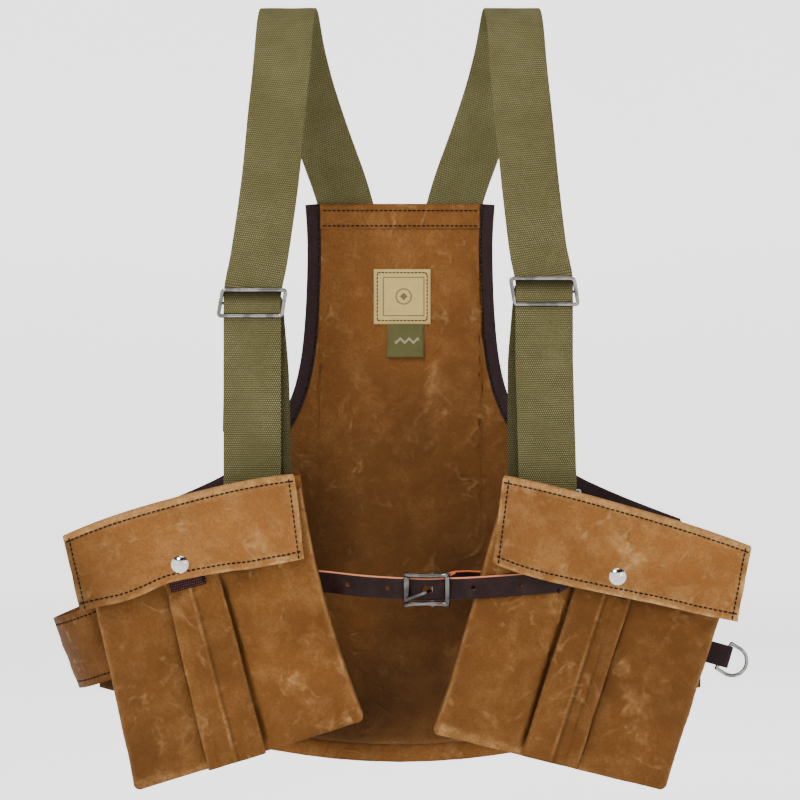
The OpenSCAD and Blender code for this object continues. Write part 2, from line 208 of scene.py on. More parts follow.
def ribbon(name, path, hint, width, thick, material, seg=14, cup=0.0, wave=0.0, seed=1.0, quiet=None):
    """A band with rounded edges swept along a path. UV: across and along, in metres."""
    path = np.asarray(path, float)
    n = len(path)
    tan = unit(np.gradient(path, axis=0))
    hint = np.broadcast_to(np.asarray(hint, float), path.shape)
    lat = unit(hint - (hint * tan).sum(1, keepdims=True) * tan)
    nor = np.cross(tan, lat)
    hw, ht = width / 2, thick / 2
    xs = np.linspace(-hw + ht, hw - ht, seg + 1)
    sec = [(x, ht) for x in xs]
    sec += [(hw - ht + ht * math.cos(a), ht * math.sin(a)) for a in (0.9, 0.0, -0.9)]
    sec += [(x, -ht) for x in xs[::-1]]
    sec += [(-hw + ht - ht * math.cos(a), ht * math.sin(a)) for a in (-0.9, 0.0, 0.9)]
    along = np.concatenate([[0], np.cumsum(np.linalg.norm(np.diff(path, axis=0), axis=1))])
    verts, uvs, m = [], [], len(sec)
    for i in range(n):
        w = wave * (1 if quiet is None else quiet(path[i]))
        for x, y in sec:
            p = path[i] + lat[i] * x
            off = y - cup * (x / hw) ** 2
            if w:
                off += w * wob(p, 22, seed, 2)
            verts.append(p + nor[i] * off)
            uvs.append((x + hw, along[i]))
    faces = []
    for i in range(n - 1):
        for k in range(m):
            a, b = i * m + k, i * m + (k + 1) % m
            faces.append((a, b, b + m, a + m))
    faces.append(tuple(range(m))[::-1])
    faces.append(tuple((n - 1) * m + k for k in range(m)))
    return mesh_object(name, verts, faces, material, uvs)


def tube(name, path, radius, material, closed=False, seg=12, depth=None):
    """Wire along a path in the XZ plane or any plane; radius may vary; depth is its size along Y."""
    path = np.asarray(path, float)
    n = len(path)
    if closed:
        tan = unit(np.roll(path, -1, 0) - np.roll(path, 1, 0))
    else:
        tan = unit(np.gradient(path, axis=0))
    ref = np.array([0.0, 1.0, 0.0])
    if abs(tan @ ref).max() > 0.9:
        ref = np.array([1.0, 0.0, 0.0])
    b = unit(ref - (tan @ ref)[:, None] * tan)
    a = np.cross(tan, b)
    r = np.broadcast_to(np.asarray(radius, float), (n,))
    d = r if depth is None else np.broadcast_to(np.asarray(depth, float), (n,))
    verts = []
    for i in range(n):
        for k in range(seg):
            t = 2 * math.pi * k / seg
            verts.append(path[i] + a[i] * r[i] * math.cos(t) + b[i] * d[i] * math.sin(t))
    faces = []
    for i in range(n if closed else n - 1):
        j = (i + 1) % n
        for k in range(seg):
            l = (k + 1) % seg
            faces.append((i * seg + k, i * seg + l, j * seg + l, j * seg + k))
    if not closed:
        faces.append(tuple(range(seg))[::-1])
        faces.append(tuple((n - 1) * seg + k for k in range(seg)))
    return mesh_object(name, verts, faces, material)


def join(name, obs):
    verts, faces, mats, uvs, base = [], [], [], [], 0
    slots = []
    for o in obs:
        me = o.data
        verts += [tuple(v.co) for v in me.vertices]
        mat = me.materials[0]
        if mat not in slots:
            slots.append(mat)
        k = slots.index(mat)
        for p in me.polygons:
            faces.append([base + i for i in p.vertices])
            mats.append(k)
            if me.uv_layers:
                uvs += [tuple(me.uv_layers[0].data[i].uv) for i in p.loop_indices]
            else:
                uvs += [(0.0, 0.0)] * p.loop_total
        base += len(me.vertices)
    for o in obs:
        bpy.data.objects.remove(o)
    ob = mesh_object(name, verts, faces, slots[0])
    for mat in slots[1:]:
        ob.data.materials.append(mat)
    ob.data.polygons.foreach_set("material_index", mats)
    ob.data.uv_layers.new(name="UVMap").data.foreach_set("uv", np.array(uvs, np.float32).ravel())
    return ob


def trees(obs):
    out = []
    for o in obs:
        out.append(BVHTree.FromPolygons([v.co.copy() for v in o.data.vertices],
                                        [list(p.vertices) for p in o.data.polygons]))
    return out


def cast(ts, p, way, back=0.08):
    p, way = Vector(p), Vector(way)
    best = None
    for t in ts:
        hit = t.ray_cast(p - way * back, way, back * 2.2)
        if hit[0] is not None and (best is None or hit[3] < best[1]):
            best = (hit[0], hit[3], hit[1])
    return None if best is None else np.array(best[0])


def stitches(name, runs, material, on, way, pitch=0.0043, length=0.0034, radius=0.00068, back=0.08):
    """Sewn thread along the runs, laid on the surfaces it is cast on."""
    ts = trees(on)
    way = np.array(way, float)
    verts, faces = [], []
    for run in runs:
        pts = resample(np.asarray(run, float), pitch)
        for i in range(len(pts) - 1):
            d = pts[i + 1] - pts[i]
            if np.linalg.norm(d) < 1e-6:
                continue
            a = cast(ts, pts[i] + d * 0.5 - unit(d) * length / 2, way, back)
            b = cast(ts, pts[i] + d * 0.5 + unit(d) * length / 2, way, back)
            if a is None or b is None or np.linalg.norm(b - a) > 2.5 * length:
                continue
            t = unit(b - a)
            side = unit(np.cross(t, way))
            base = len(verts)
            rings = ((0.0, 0.35, 0.25), (0.14, 0.95, -0.25), (0.5, 1.0, -0.55), (0.86, 0.95, -0.25), (1.0, 0.35, 0.25))
            for f, s, h in rings:
                c = a + (b - a) * f + way * h * radius
                for k in range(6):
                    w = 2 * math.pi * k / 6
                    verts.append(c + side * radius * s * math.cos(w) + way * radius * s * math.sin(w))
            for q in range(4):
                for k in range(6):
                    l = (k + 1) % 6
                    faces.append((base + q * 6 + k, base + q * 6 + l, base + q * 6 + 6 + l, base + q * 6 + 6 + k))
            faces.append(tuple(base + k for k in range(6))[::-1])
            faces.append(tuple(base + 24 + k for k in range(6)))
    return mesh_object(name, verts, faces, material)


# ---------------------------------------------------------------- materials
class Shader:
    def __init__(self, name, **values):
        self.m = bpy.data.materials.new(name)
        self.m.use_nodes = True
        self.t = self.m.node_tree
        self.b = next(n for n in self.t.nodes if n.type == "BSDF_PRINCIPLED")
        for k, v in values.items():
            self.b.inputs[k.replace("_", " ")].default_value = v

    def add(self, kind, inputs=None, **props):
        n = self.t.nodes.new(kind)
        for k, v in props.items():
            setattr(n, k, v)
        for k, v in (inputs or {}).items():
            if hasattr(v, "is_linked"):
                self.t.links.new(v, n.inputs[k])
            else:
                n.inputs[k].default_value = v
        return n

    def math(self, op, a, b=0.0, c=0.0):
        return self.add("ShaderNodeMath", {0: a, 1: b, 2: c}, operation=op).outputs[0]

    def coords(self, what="Object"):
        return self.add("ShaderNodeTexCoord").outputs[what]

    def noise(self, vec, scale, detail=4.0, rough=0.55, dist=0.0):
        return self.add("ShaderNodeTexNoise", {"Vector": vec, "Scale": scale, "Detail": detail,
                                               "Roughness": rough, "Distortion": dist}).outputs[0]

    def fit(self, x, a, b, c=0.0, d=1.0):
        return self.add("ShaderNodeMapRange", {"Value": x, "From Min": a, "From Max": b,
                                               "To Min": c, "To Max": d}).outputs[0]

    def mix(self, f, a, b, how="MIX"):
        n = self.add("ShaderNodeMix", {0: f}, data_type="RGBA", blend_type=how)
        for k, v in ((6, a), (7, b)):
            if hasattr(v, "is_linked"):
                self.t.links.new(v, n.inputs[k])
            else:
                n.inputs[k].default_value = (*v, 1.0)
        return n.outputs[2]

    def to(self, socket, out):
        self.t.links.new(out, self.b.inputs[socket])

    def bump(self, height, strength, distance, normal=None):
        n = self.add("ShaderNodeBump", {"Height": height, "Strength": strength, "Distance": distance})
        if normal is not None:
            self.t.links.new(normal, n.inputs["Normal"])
        return n.outputs[0]

    def sines(self, vec, kx, ky, x="X", y="Z"):
        s = self.add("ShaderNodeSeparateXYZ", {0: vec})
        a = self.math("SINE", self.math("MULTIPLY", s.outputs[x], kx))
        b = self.math("SINE", self.math("MULTIPLY", s.outputs[y], ky))
        return self.math("MULTIPLY", a, b)


def waxed(name, dark, mid, light, mark=0.5):
    """Waxed cotton canvas: soft mottling, fine weave, pale rubbed creases; one painted attribute lightens it (rubbed
    wear, and a painted highlight along the panel's bottom fold), another darkens it (some random dirt, mostly painted
    shade).
    """
    s = Shader(name, Specular_IOR_Level=0.05)
    o = s.coords()
    broad = s.noise(o, 7.0, 5, 0.6, 0.6)
    fine = s.noise(o, 46, 6, 0.68, 0.3)
    grain = s.noise(o, 520, 3, 0.62)
    c = s.mix(s.fit(broad, 0.30, 0.70, 0.12, 1.0), dark, mid)
    c = s.mix(s.fit(fine, 0.46, 0.78, 0.0, 0.20), c, light)
    lines = []
    for scale, width, seed in ((7.0, 52.0, 3.0), (13.0, 30.0, 7.0), (22.0, 19.0, 12.0)):
        n = s.noise(o, scale, 3, 0.45, 1.3)
        ridge_ = s.math("SUBTRACT", 1.0, s.math("MULTIPLY", s.math("ABSOLUTE", s.math("SUBTRACT", n, 0.5)), width))
        mask = s.fit(s.noise(o, scale * 1.3 + seed, 3, 0.6, 0.3), 0.55, 0.68)
        lines.append(s.math("MULTIPLY", s.math("MAXIMUM", ridge_, 0.0), mask))
    marks = s.math("MAXIMUM", s.math("MAXIMUM", lines[0], lines[1]), lines[2])
    rubbed = s.math("MULTIPLY", s.fit(s.noise(o, 34, 8, 0.8, 0.8), 0.58, 0.78), 0.26)
    marks = s.math("MAXIMUM", marks, rubbed)
    broken = s.math("MULTIPLY", marks, s.fit(s.noise(o, 260, 4, 0.75), 0.34, 0.58))
    c = s.mix(s.math("MULTIPLY", broken, mark), c, light)
    # lighter where the attribute says: rubbed wear on edges and creases, and a painted highlight along the panel's
    # bottom fold
    wear = s.add("ShaderNodeAttribute", attribute_name="wear").outputs["Fac"]
    c = s.mix(s.math("MULTIPLY", wear, s.fit(s.noise(o, 120, 5, 0.7), 0.34, 0.62, 0.15, 0.8)), c, light)
    c = s.mix(s.fit(grain, 0.36, 0.66, 0.0, 0.46), c, dark)
    # painted shade: darker where the attribute says, mostly where shade falls, with some random dirt
    soil = s.add("ShaderNodeAttribute", attribute_name="soil").outputs["Fac"]
    c = s.mix(soil, c, tuple(v * 0.16 for v in dark))
    s.to("Base Color", c)
    s.to("Roughness", s.fit(fine, 0.3, 0.7, 0.58, 0.78))
    weave = s.sines(o, 2 * math.pi / 0.0019, 2 * math.pi / 0.0019)
    h = s.math("ADD", s.math("MULTIPLY", weave, 0.4), s.math("MULTIPLY", grain, 1.1))
    n1 = s.bump(h, 0.6, 0.0005)
    n2 = s.bump(s.math("ADD", s.noise(o, 60, 5, 0.6, 0.5), s.math("MULTIPLY", marks, 0.6)), 0.9, 0.0036, n1)
    s.to("Normal", n2)
    return s.m


def webbing(name, base, dark, pale, pitch=0.0019):
    """Flat woven webbing: rows of short picks across, staggered from row to row. UV is in metres."""
    s = Shader(name, Roughness=0.9, Specular_IOR_Level=0.04)
    uv, o = s.coords("UV"), s.coords()
    sep = s.add("ShaderNodeSeparateXYZ", {0: uv})
    u, v = sep.outputs["X"], sep.outputs["Y"]
    row = s.math("FLOOR", s.math("MULTIPLY", v, 1 / pitch))
    a = s.math("ABSOLUTE", s.math("SINE", s.math("MULTIPLY", v, math.pi / pitch)))
    ph = s.math("ADD", s.math("MULTIPLY", u, math.pi / (pitch * 0.9)), s.math("MULTIPLY", row, math.pi / 2))
    b = s.math("ABSOLUTE", s.math("SINE", ph))
    knot = s.math("MULTIPLY", s.math("POWER", a, 0.5), s.math("POWER", b, 0.7))
    tone = s.noise(o, 26, 4, 0.6)
    fuzz = s.noise(o, 1100, 2, 0.6)
    c = s.mix(s.fit(knot, 0.2, 0.95), dark, base)
    c = s.mix(s.math("MULTIPLY", s.fit(tone, 0.4, 0.7), s.fit(knot, 0.5, 1.0, 0.0, 0.5)), c, pale)
    c = s.mix(s.fit(fuzz, 0.4, 0.7, 0.0, 0.4), c, dark)
    # painted shade: the webbing's colour is darkened where the attribute says
    soil = s.add("ShaderNodeAttribute", attribute_name="soil").outputs["Fac"]
    c = s.mix(soil, c, tuple(x * 0.3 for x in dark))
    s.to("Base Color", c)
    s.to("Normal", s.bump(s.math("ADD", knot, s.math("MULTIPLY", fuzz, 0.5)), 0.9, 0.0008))
    return s.m


def twill(name, base, pale):
    s = Shader(name, Roughness=0.78, Specular_IOR_Level=0.08)
    uv, o = s.coords("UV"), s.coords()
    sep = s.add("ShaderNodeSeparateXYZ", {0: uv})
    d = s.math("ADD", sep.outputs["X"], sep.outputs["Y"])
    rib = s.math("ABSOLUTE", s.math("SINE", s.math("MULTIPLY", d, math.pi / 0.0013)))
    fuzz = s.noise(o, 600, 3, 0.6)
    c = s.mix(s.fit(rib, 0.5, 1.0, 0.0, 0.6), base, pale)
    c = s.mix(s.fit(fuzz, 0.45, 0.7, 0.0, 0.3), c, pale)
    s.to("Base Color", c)
    s.to("Normal", s.bump(s.math("ADD", rib, fuzz), 0.8, 0.0005))
    return s.m


def hide(name, base, pale, edge, width):
    """Dark bridle leather with a thin raw edge. UV runs across and along, in metres."""
    s = Shader(name, Specular_IOR_Level=0.09)
    uv, o = s.coords("UV"), s.coords()
    sep = s.add("ShaderNodeSeparateXYZ", {0: uv})
    pores = s.add("ShaderNodeTexVoronoi", {"Vector": o, "Scale": 900.0}).outputs[0]
    tone = s.noise(o, 60, 6, 0.7, 0.4)
    c = s.mix(s.fit(tone, 0.45, 0.75), base, pale)
    rim = s.fit(sep.outputs["X"], width - 0.0015, width - 0.0009)
    c = s.mix(rim, c, edge)
    s.to("Base Color", c)
    s.to("Roughness", s.fit(tone, 0.3, 0.7, 0.34, 0.55))
    s.to("Normal", s.bump(s.math("ADD", pores, tone), 0.35, 0.0003))
    return s.m


def plated(name, base, rough, painted_dim=0.3):
    """Plated wire with a slightly worn bump; its base colour is painted dark and darker still in cloudy patches, a
    painted dark reflection.
    """
    s = Shader(name, Metallic=1.0)
    o = s.coords()
    n = s.noise(o, 260, 4, 0.65)
    painted_reflection_patches = s.noise(o, 70, 2, 0.5, 0.6)
    s.to("Base Color", s.mix(s.fit(painted_reflection_patches, 0.44, 0.58), tuple(v * painted_dim for v in base), base))
    s.to("Roughness", s.fit(n, 0.35, 0.7, rough, rough + 0.16))
    s.to("Normal", s.bump(s.noise(o, 90, 3, 0.5), 0.12, 0.0006))
    return s.m


def flat_thread(name, colour):
    s = Shader(name, Roughness=0.95, Specular_IOR_Level=0.0)
    t = s.noise(s.coords(), 1400, 2, 0.5)
    s.to("Base Color", s.mix(s.fit(t, 0.4, 0.65), colour, tuple(min(1, c * 2.2 + 0.02) for c in colour)))
    return s.m


def printed(name, cloth, ink, w, h, kind):
    """Woven label cloth with a plain generic device, in UV metres with the middle at u = 0."""
    s = Shader(name, Roughness=0.95, Specular_IOR_Level=0.0)
    uv, o = s.coords("UV"), s.coords()
    sep = s.add("ShaderNodeSeparateXYZ", {0: uv})
    u = s.math("ABSOLUTE", sep.outputs["X"])
    v = s.math("SUBTRACT", sep.outputs["Y"], h / 2)
    av = s.math("ABSOLUTE", v)

    def inside(x, a, soft=0.0002):
        return s.fit(x, a - soft, a + soft, 1.0, 0.0)

    if kind == "patch":
        a = s.math("MULTIPLY", inside(u, w / 2 - 0.0070), inside(av, h / 2 - 0.0070))
        b = s.math("MULTIPLY", inside(u, w / 2 - 0.0079), inside(av, h / 2 - 0.0079))
        shape = s.math("SUBTRACT", a, b)
        r = s.math("SQRT", s.math("ADD", s.math("POWER", u, 2.0), s.math("POWER", v, 2.0)))
        ring = s.math("SUBTRACT", inside(r, 0.0075), inside(r, 0.0064))
        dot = inside(s.math("ADD", u, av), 0.0036)
        shape = s.math("MAXIMUM", shape, s.math("MAXIMUM", ring, dot))
    else:
        z = s.math("PINGPONG", s.math("ADD", sep.outputs["X"], 0.05), 0.004)
        band = s.math("ABSOLUTE", s.math("SUBTRACT", s.math("ADD", v, z), 0.002))
        shape = s.math("MULTIPLY", inside(band, 0.0012), inside(u, w / 2 - 0.006))
    yarn = s.sines(uv, 2 * math.pi / 0.0011, 2 * math.pi / 0.0011, "X", "Y")
    grime = s.noise(o, 70, 5, 0.7)
    c = s.mix(s.fit(grime, 0.45, 0.75, 0.0, 0.5), cloth, tuple(x * 0.72 for x in cloth))
    c = s.mix(s.math("MULTIPLY", shape, 0.85), c, ink)
    s.to("Base Color", c)
    s.to("Normal", s.bump(s.math("ADD", yarn, grime), 0.5, 0.0003))
    return s.m


PANEL = waxed("panel_canvas", (0.066, 0.024, 0.0048), (0.138, 0.054, 0.0125), (0.38, 0.205, 0.078), 0.48)
POCKET = waxed("pocket_canvas", (0.068, 0.0245, 0.0045), (0.140, 0.056, 0.0125), (0.44, 0.24, 0.088), 0.62)
FLAP = waxed("flap_canvas", (0.106, 0.040, 0.0085), (0.190, 0.078, 0.0195), (0.52, 0.31, 0.125), 0.52)
OLIVE = webbing("olive_web", (0.132, 0.118, 0.049), (0.026, 0.022, 0.008), (0.25, 0.23, 0.115))
BROWN = twill("brown_twill", (0.010, 0.0045, 0.0050), (0.034, 0.020, 0.020))
TAB = webbing("brown_web", (0.062, 0.026, 0.024), (0.006, 0.002, 0.002), (0.17, 0.10, 0.095), 0.0021)
LEATHER = hide("dark_leather", (0.0075, 0.0024, 0.0022), (0.020, 0.0085, 0.0078), (0.42, 0.15, 0.075), 0.019)
SHORT_LEATHER = hide("short_strap_leather", (0.0075, 0.0024, 0.0022), (0.020, 0.0085, 0.0078), (0.46, 0.10, 0.030), 0.018)
# painted reflection: metal base colours are painted dark, and darker in cloudy patches, for the dark room they reflect;
# the buckle's is darkest
NICKEL = plated("nickel", (0.46, 0.44, 0.42), 0.10, 0.85)
CHROME = plated("dark_chrome", (0.20, 0.19, 0.18), 0.06, 0.5)
CHROME_PAINTED_DARKER = plated("smoked_chrome", (0.11, 0.103, 0.097), 0.05, 0.45)
THREAD = flat_thread("dark_thread", (0.0012, 0.0010, 0.0009))
LABEL = printed("label_cloth", (0.35, 0.255, 0.095), (0.05, 0.042, 0.03), 0.052, 0.050, "patch")
TAG = printed("tag_cloth", (0.066, 0.061, 0.024), (0.23, 0.21, 0.12), 0.034, 0.030, "tag")


# ---------------------------------------------------------------- back panel
def panel_bulge(x, z):
    p = (x, 0.0, z)
    b = 0.5 + 0.5 * wob(p, 6.0, 3.1, 2)
    r = 0.35 * ridge(p, 9, 5.0, 5.0) + 0.2 * ridge(p, 20, 8.0, 5.0)
    return 3.0 * MM * max(b, 0) + 1.1 * MM * r


lo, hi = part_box("back_panel")
mid_y = (lo[1] + hi[1]) / 2
T = tris("back_panel")
half = hi[0] - 0.4 * MM
top_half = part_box("top_facing")[1][0]
side_x = np.concatenate([np.linspace(0, top_half - 1 * MM, 30), np.linspace(top_half + 0.5 * MM, 0.11, 26),
                         np.linspace(0.114, half, 44)])
xs = np.concatenate([-side_x[:0:-1], side_x])
rows = 130
P = np.zeros((rows, len(xs), 3))
soil, wear = np.zeros((rows, len(xs))), np.zeros((rows, len(xs)))
ends = np.array([(z.min(), z.max()) for z in (cut(T, 0, x)[:, 2] for x in xs)])
eased = relax(ends, 60)
for c, x in enumerate(xs):
    z0, z1 = ends[c]
    for r in range(rows):
        t = r / (rows - 1)
        zz = z1 + (z0 - z1) * t
        edge = min(1.0, (zz - z0) / 0.03, (eased[c, 1] - zz) / 0.03, (half - abs(x)) / 0.03)
        P[r, c] = (x, mid_y - 0.2 * MM - panel_bulge(x, zz) * max(edge, 0) ** 0.7, zz)
        # painted shade: the panel's colour is darkened towards the bottom, and a little on the wings beyond the top
        # facing; its bottom edge gets a lighter line, a painted highlight along the fold
        low_down = (hi[2] - zz) / 0.30
        painted_low_shade = min(1, max(0, low_down - 0.18)) ** 1.1 * 0.66
        soil[r, c] = min(0.85, painted_low_shade * (0.9 + 0.5 * wob((x, 0, zz), 11, 1.0, 3)) + 0.14 * min(1, max(0, abs(x) - top_half) / 0.05))
        wear[r, c] = 0.55 * math.exp(-((zz - z0) / 0.004) ** 2)
panel = grid("panel_cloth", P, PANEL, 1.3 * MM, flip=True, soil=soil, wear=wear)

# rear pouch: one cloth from the lip below the panel, under and up the back
lo2, hi2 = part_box("rear_pouch")
T2 = tris("rear_pouch")
hx = hi2[0] - 0.6 * MM
cols = np.sin(np.linspace(-1, 1, 91) * math.pi / 2) * hx
P = []
for x in cols:
    z = cut(T2, 0, x)[:, 2]
    zb, zt = z.min(), z.max()
    zp = cut(T, 0, x)[:, 2].min()
    f = abs(x) / hx
    deep = (hi2[1] - hi[1]) * (1 - f ** 5) ** 0.5
    y0 = hi[1] + 0.5 * MM
    sag = 2.5 * MM * wob((x, 0, 0), 14, 2.0, 2)
    r0 = 9 * MM * min(1, deep / 0.02)
    col = [(x, lo[1] + 0.9 * MM, zp - 0.5 * MM), (x, lo[1] + 0.8 * MM, (zp + zb) / 2), (x, lo[1] + 1.3 * MM, zb + 1.2 * MM),
           (x, y0 + 0.10 * deep, zb + 0.8 * MM), (x, y0 + 0.5 * deep, zb + 1.5 * MM),
           (x, y0 + 0.9 * deep, zb + 4 * MM), (x, y0 + deep * 0.985, zb + 14 * MM)]
    n = 60
    for k in range(1, n + 1):
        t = k / n
        zz = zb + 14 * MM + (zt - 1 * MM - zb - 14 * MM) * t
        d = deep * (0.985 - 0.10 * math.sin(t * math.pi) - 0.16 * t ** 3)
        q = (x, 0, zz)
        d += deep / 0.034 * (2.2 * MM * wob(q, 9, 7, 3) * math.sin(math.pi * min(1, t + .1)) - 1.0 * MM * ridge(q, 12, 2.2, 4))
        col.append((x, y0 + max(d, 0.25 * MM), zz))
    P.append(np.array(col))
P = np.array(P).transpose(1, 0, 2)
pouch = grid("rear_pouch_cloth", P, PANEL, 1.3 * MM, even=False)
pouch_grid = P

# hem facing across the top
lo3, hi3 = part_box("top_facing")
bv = trees([panel])
P = []
for z in np.linspace(hi3[2] - 0.3 * MM, lo3[2], 12):
    row = []
    for x in np.linspace(lo3[0] + 1 * MM, hi3[0] - 1 * MM, 70):
        h = cast(bv, (x, mid_y, z), (0, 1, 0))
        y = h[1] if h is not None else lo[1]
        row.append((x, y - 0.7 * MM, z))
    P.append(row)
P = np.array(P)
P[:, :, 1] = relax(P[:, :, 1], 4)
facing = grid("top_hem_cloth", P, PANEL, 1.2 * MM, flip=True)


def node_loop(name):
    """Ordered outline of a sheet node's front face, as X and Z."""
    t = tris(name)
    y = t[:, :, 1]
    t = t[(y < y.min() + 1e-6).all(1)]
    key = lambda p: (round(p[0] * 1e5), round(p[2] * 1e5))
    edges = {}
    for a in t:
        k = [key(q) for q in a]
        for i in range(3):
            e = (k[i], k[(i + 1) % 3])
            if (e[1], e[0]) in edges:
                del edges[(e[1], e[0])]
            else:
                edges[e] = True
    nxt = {a: b for a, b in edges}
    start = next(iter(nxt))
    loop, here = [start], nxt[start]
    while here != start and len(loop) < 5000:
        loop.append(here)
        here = nxt[here]
    return np.array(loop, float) / 1e5


def binding(side):
    name = side + "_armhole_binding"
    lp = node_loop(name)
    s = 1 if side == "right" else -1
    top = lp[:, 1].max()
    tops = [i for i in range(len(lp)) if lp[i, 1] > top - 1.5 * MM]
    outer_top = max(tops, key=lambda i: s * lp[i, 0])
    inner_top = min(tops, key=lambda i: s * lp[i, 0])
    ends = sorted(range(len(lp)), key=lambda i: -s * lp[i, 0])[:3]
    outer_end = max(ends, key=lambda i: lp[i, 1])
    inner_end = min(range(len(lp)), key=lambda i: lp[i, 1] - 0.6 * s * lp[i, 0] + (1 if s * lp[i, 0] < 0.2 else 0))

    def walk(i, j, avoid):
        for step in (1, -1):
            out, k = [i], i
            while k != j:
                k = (k + step) % len(lp)
                out.append(k)
            if avoid not in out:
                return lp[out]
        return lp[out]

    outer = walk(outer_top, outer_end, inner_top)
    inner = walk(inner_top, inner_end, outer_top)
    n = 150
    def even(c):
        q = resample(c, 1 * MM)
        return q[np.linspace(0, len(q) - 1, n).round().astype(int)]
    outer, inner = even(outer), even(inner)
    yf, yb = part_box(name)[0][1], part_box(name)[1][1]
    P = []
    sec = [(0.0, 0.5), (0.02, 0.06), (0.15, 0.0), (0.4, 0.0), (0.65, 0.02), (0.85, 0.08), (0.96, 0.26), (1.0, 0.5),
           (0.96, 0.74), (0.85, 0.92), (0.6, 1.0), (0.3, 1.0), (0.05, 0.95), (0.0, 0.62)]
    for i in range(n):
        row = []
        for f, d in sec:
            x, z = inner[i] + (outer[i] - inner[i]) * f
            pk = 0.35 * MM * wob((x, d, z), 60, 4.4, 2) + 0.15 * MM * math.sin(i * 1.9)
            y = yf + (yb - yf) * d + (pk if d < 0.4 else -pk)
            row.append((x, y, z))
        P.append(row)
    ob = grid("binding_tape_" + side, np.array(P), BROWN, 0.0, flip=(side == "right"))
    line = inner + (outer - inner) * 0.16
    return ob, np.stack([line[:, 0], np.full(n, yf), line[:, 1]], 1)


bind_left, line_l = binding("left")
bind_right, line_r = binding("right")

# ---------------------------------------------------------------- label and tag
def laid(name, node, material, lift, thick, rows_=14, cols_=14, curl=0.0):
    a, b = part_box(node)
    ts = trees([panel])
    P = []
    for i, z in enumerate(np.linspace(b[2], a[2], rows_)):
        row = []
        for x in np.linspace(a[0], b[0], cols_):
            h = cast(ts, (x, mid_y, z), (0, 1, 0))
            t = i / (rows_ - 1)
            row.append((x, h[1] - lift - curl * t ** 3 + 0.12 * MM * wob((x, 0, z), 90, 2), z))
        P.append(row)
    return grid(name, np.array(P), material, thick, flip=True)


label = laid("label_cloth_patch", "label_patch", LABEL, 0.75 * MM, 0.8 * MM, 20, 20)
tag = laid("tag_loop", "side_tag", TAG, 0.8 * MM, 1.0 * MM, 18, 14, 2.2 * MM)

# ---------------------------------------------------------------- shoulder straps
def strap_line(side):
    name = side + "_strap"
    t = tris(name)
    ring_lo, ring_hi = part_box(side + "_strap_ring")
    zr, yr = ring_hi[2] - 1.5 * MM, (ring_lo[1] + ring_hi[1]) / 2
    xr = (ring_lo[0] + ring_hi[0]) / 2
    path = [(xr, yr + 3 * MM * math.cos(a), zr + 3 * MM * math.sin(a)) for a in np.linspace(0, -math.pi, 14)]
    mid = lambda p: (p.max(0) + p.min(0)) / 2
    for z in np.arange(zr + 6 * MM, -62 * MM, 4 * MM):
        path.append(mid(cut(t, 2, z, lambda p: p[:, 1] < -35 * MM)))
    for y in np.arange(-40 * MM, 41 * MM, 4 * MM):
        path.append(mid(cut(t, 1, y, lambda p: p[:, 2] > -75 * MM)))
    for z in np.arange(-62 * MM, -198 * MM, -4 * MM):
        path.append(mid(cut(t, 2, z, lambda p: p[:, 1] > 20 * MM)))
    down = path[-1] - path[-4]
    path += [path[-1] + down * k * np.array([1, 0, 1]) for k in (0.8, 1.6, 2.4)]
    path = np.array(path)
    q = resample(path[13:], 3 * MM)
    return np.concatenate([path[:13], relax(q, 3)])


def calm(zone):
    a, b = zone
    return lambda p: 1.0 if (p[2] > b or p[2] < a) and p[2] > -0.40 and p[1] < 0.05 else 0.12


def length(path):
    return float(np.linalg.norm(np.diff(np.array(path, float), axis=0), axis=1).sum())


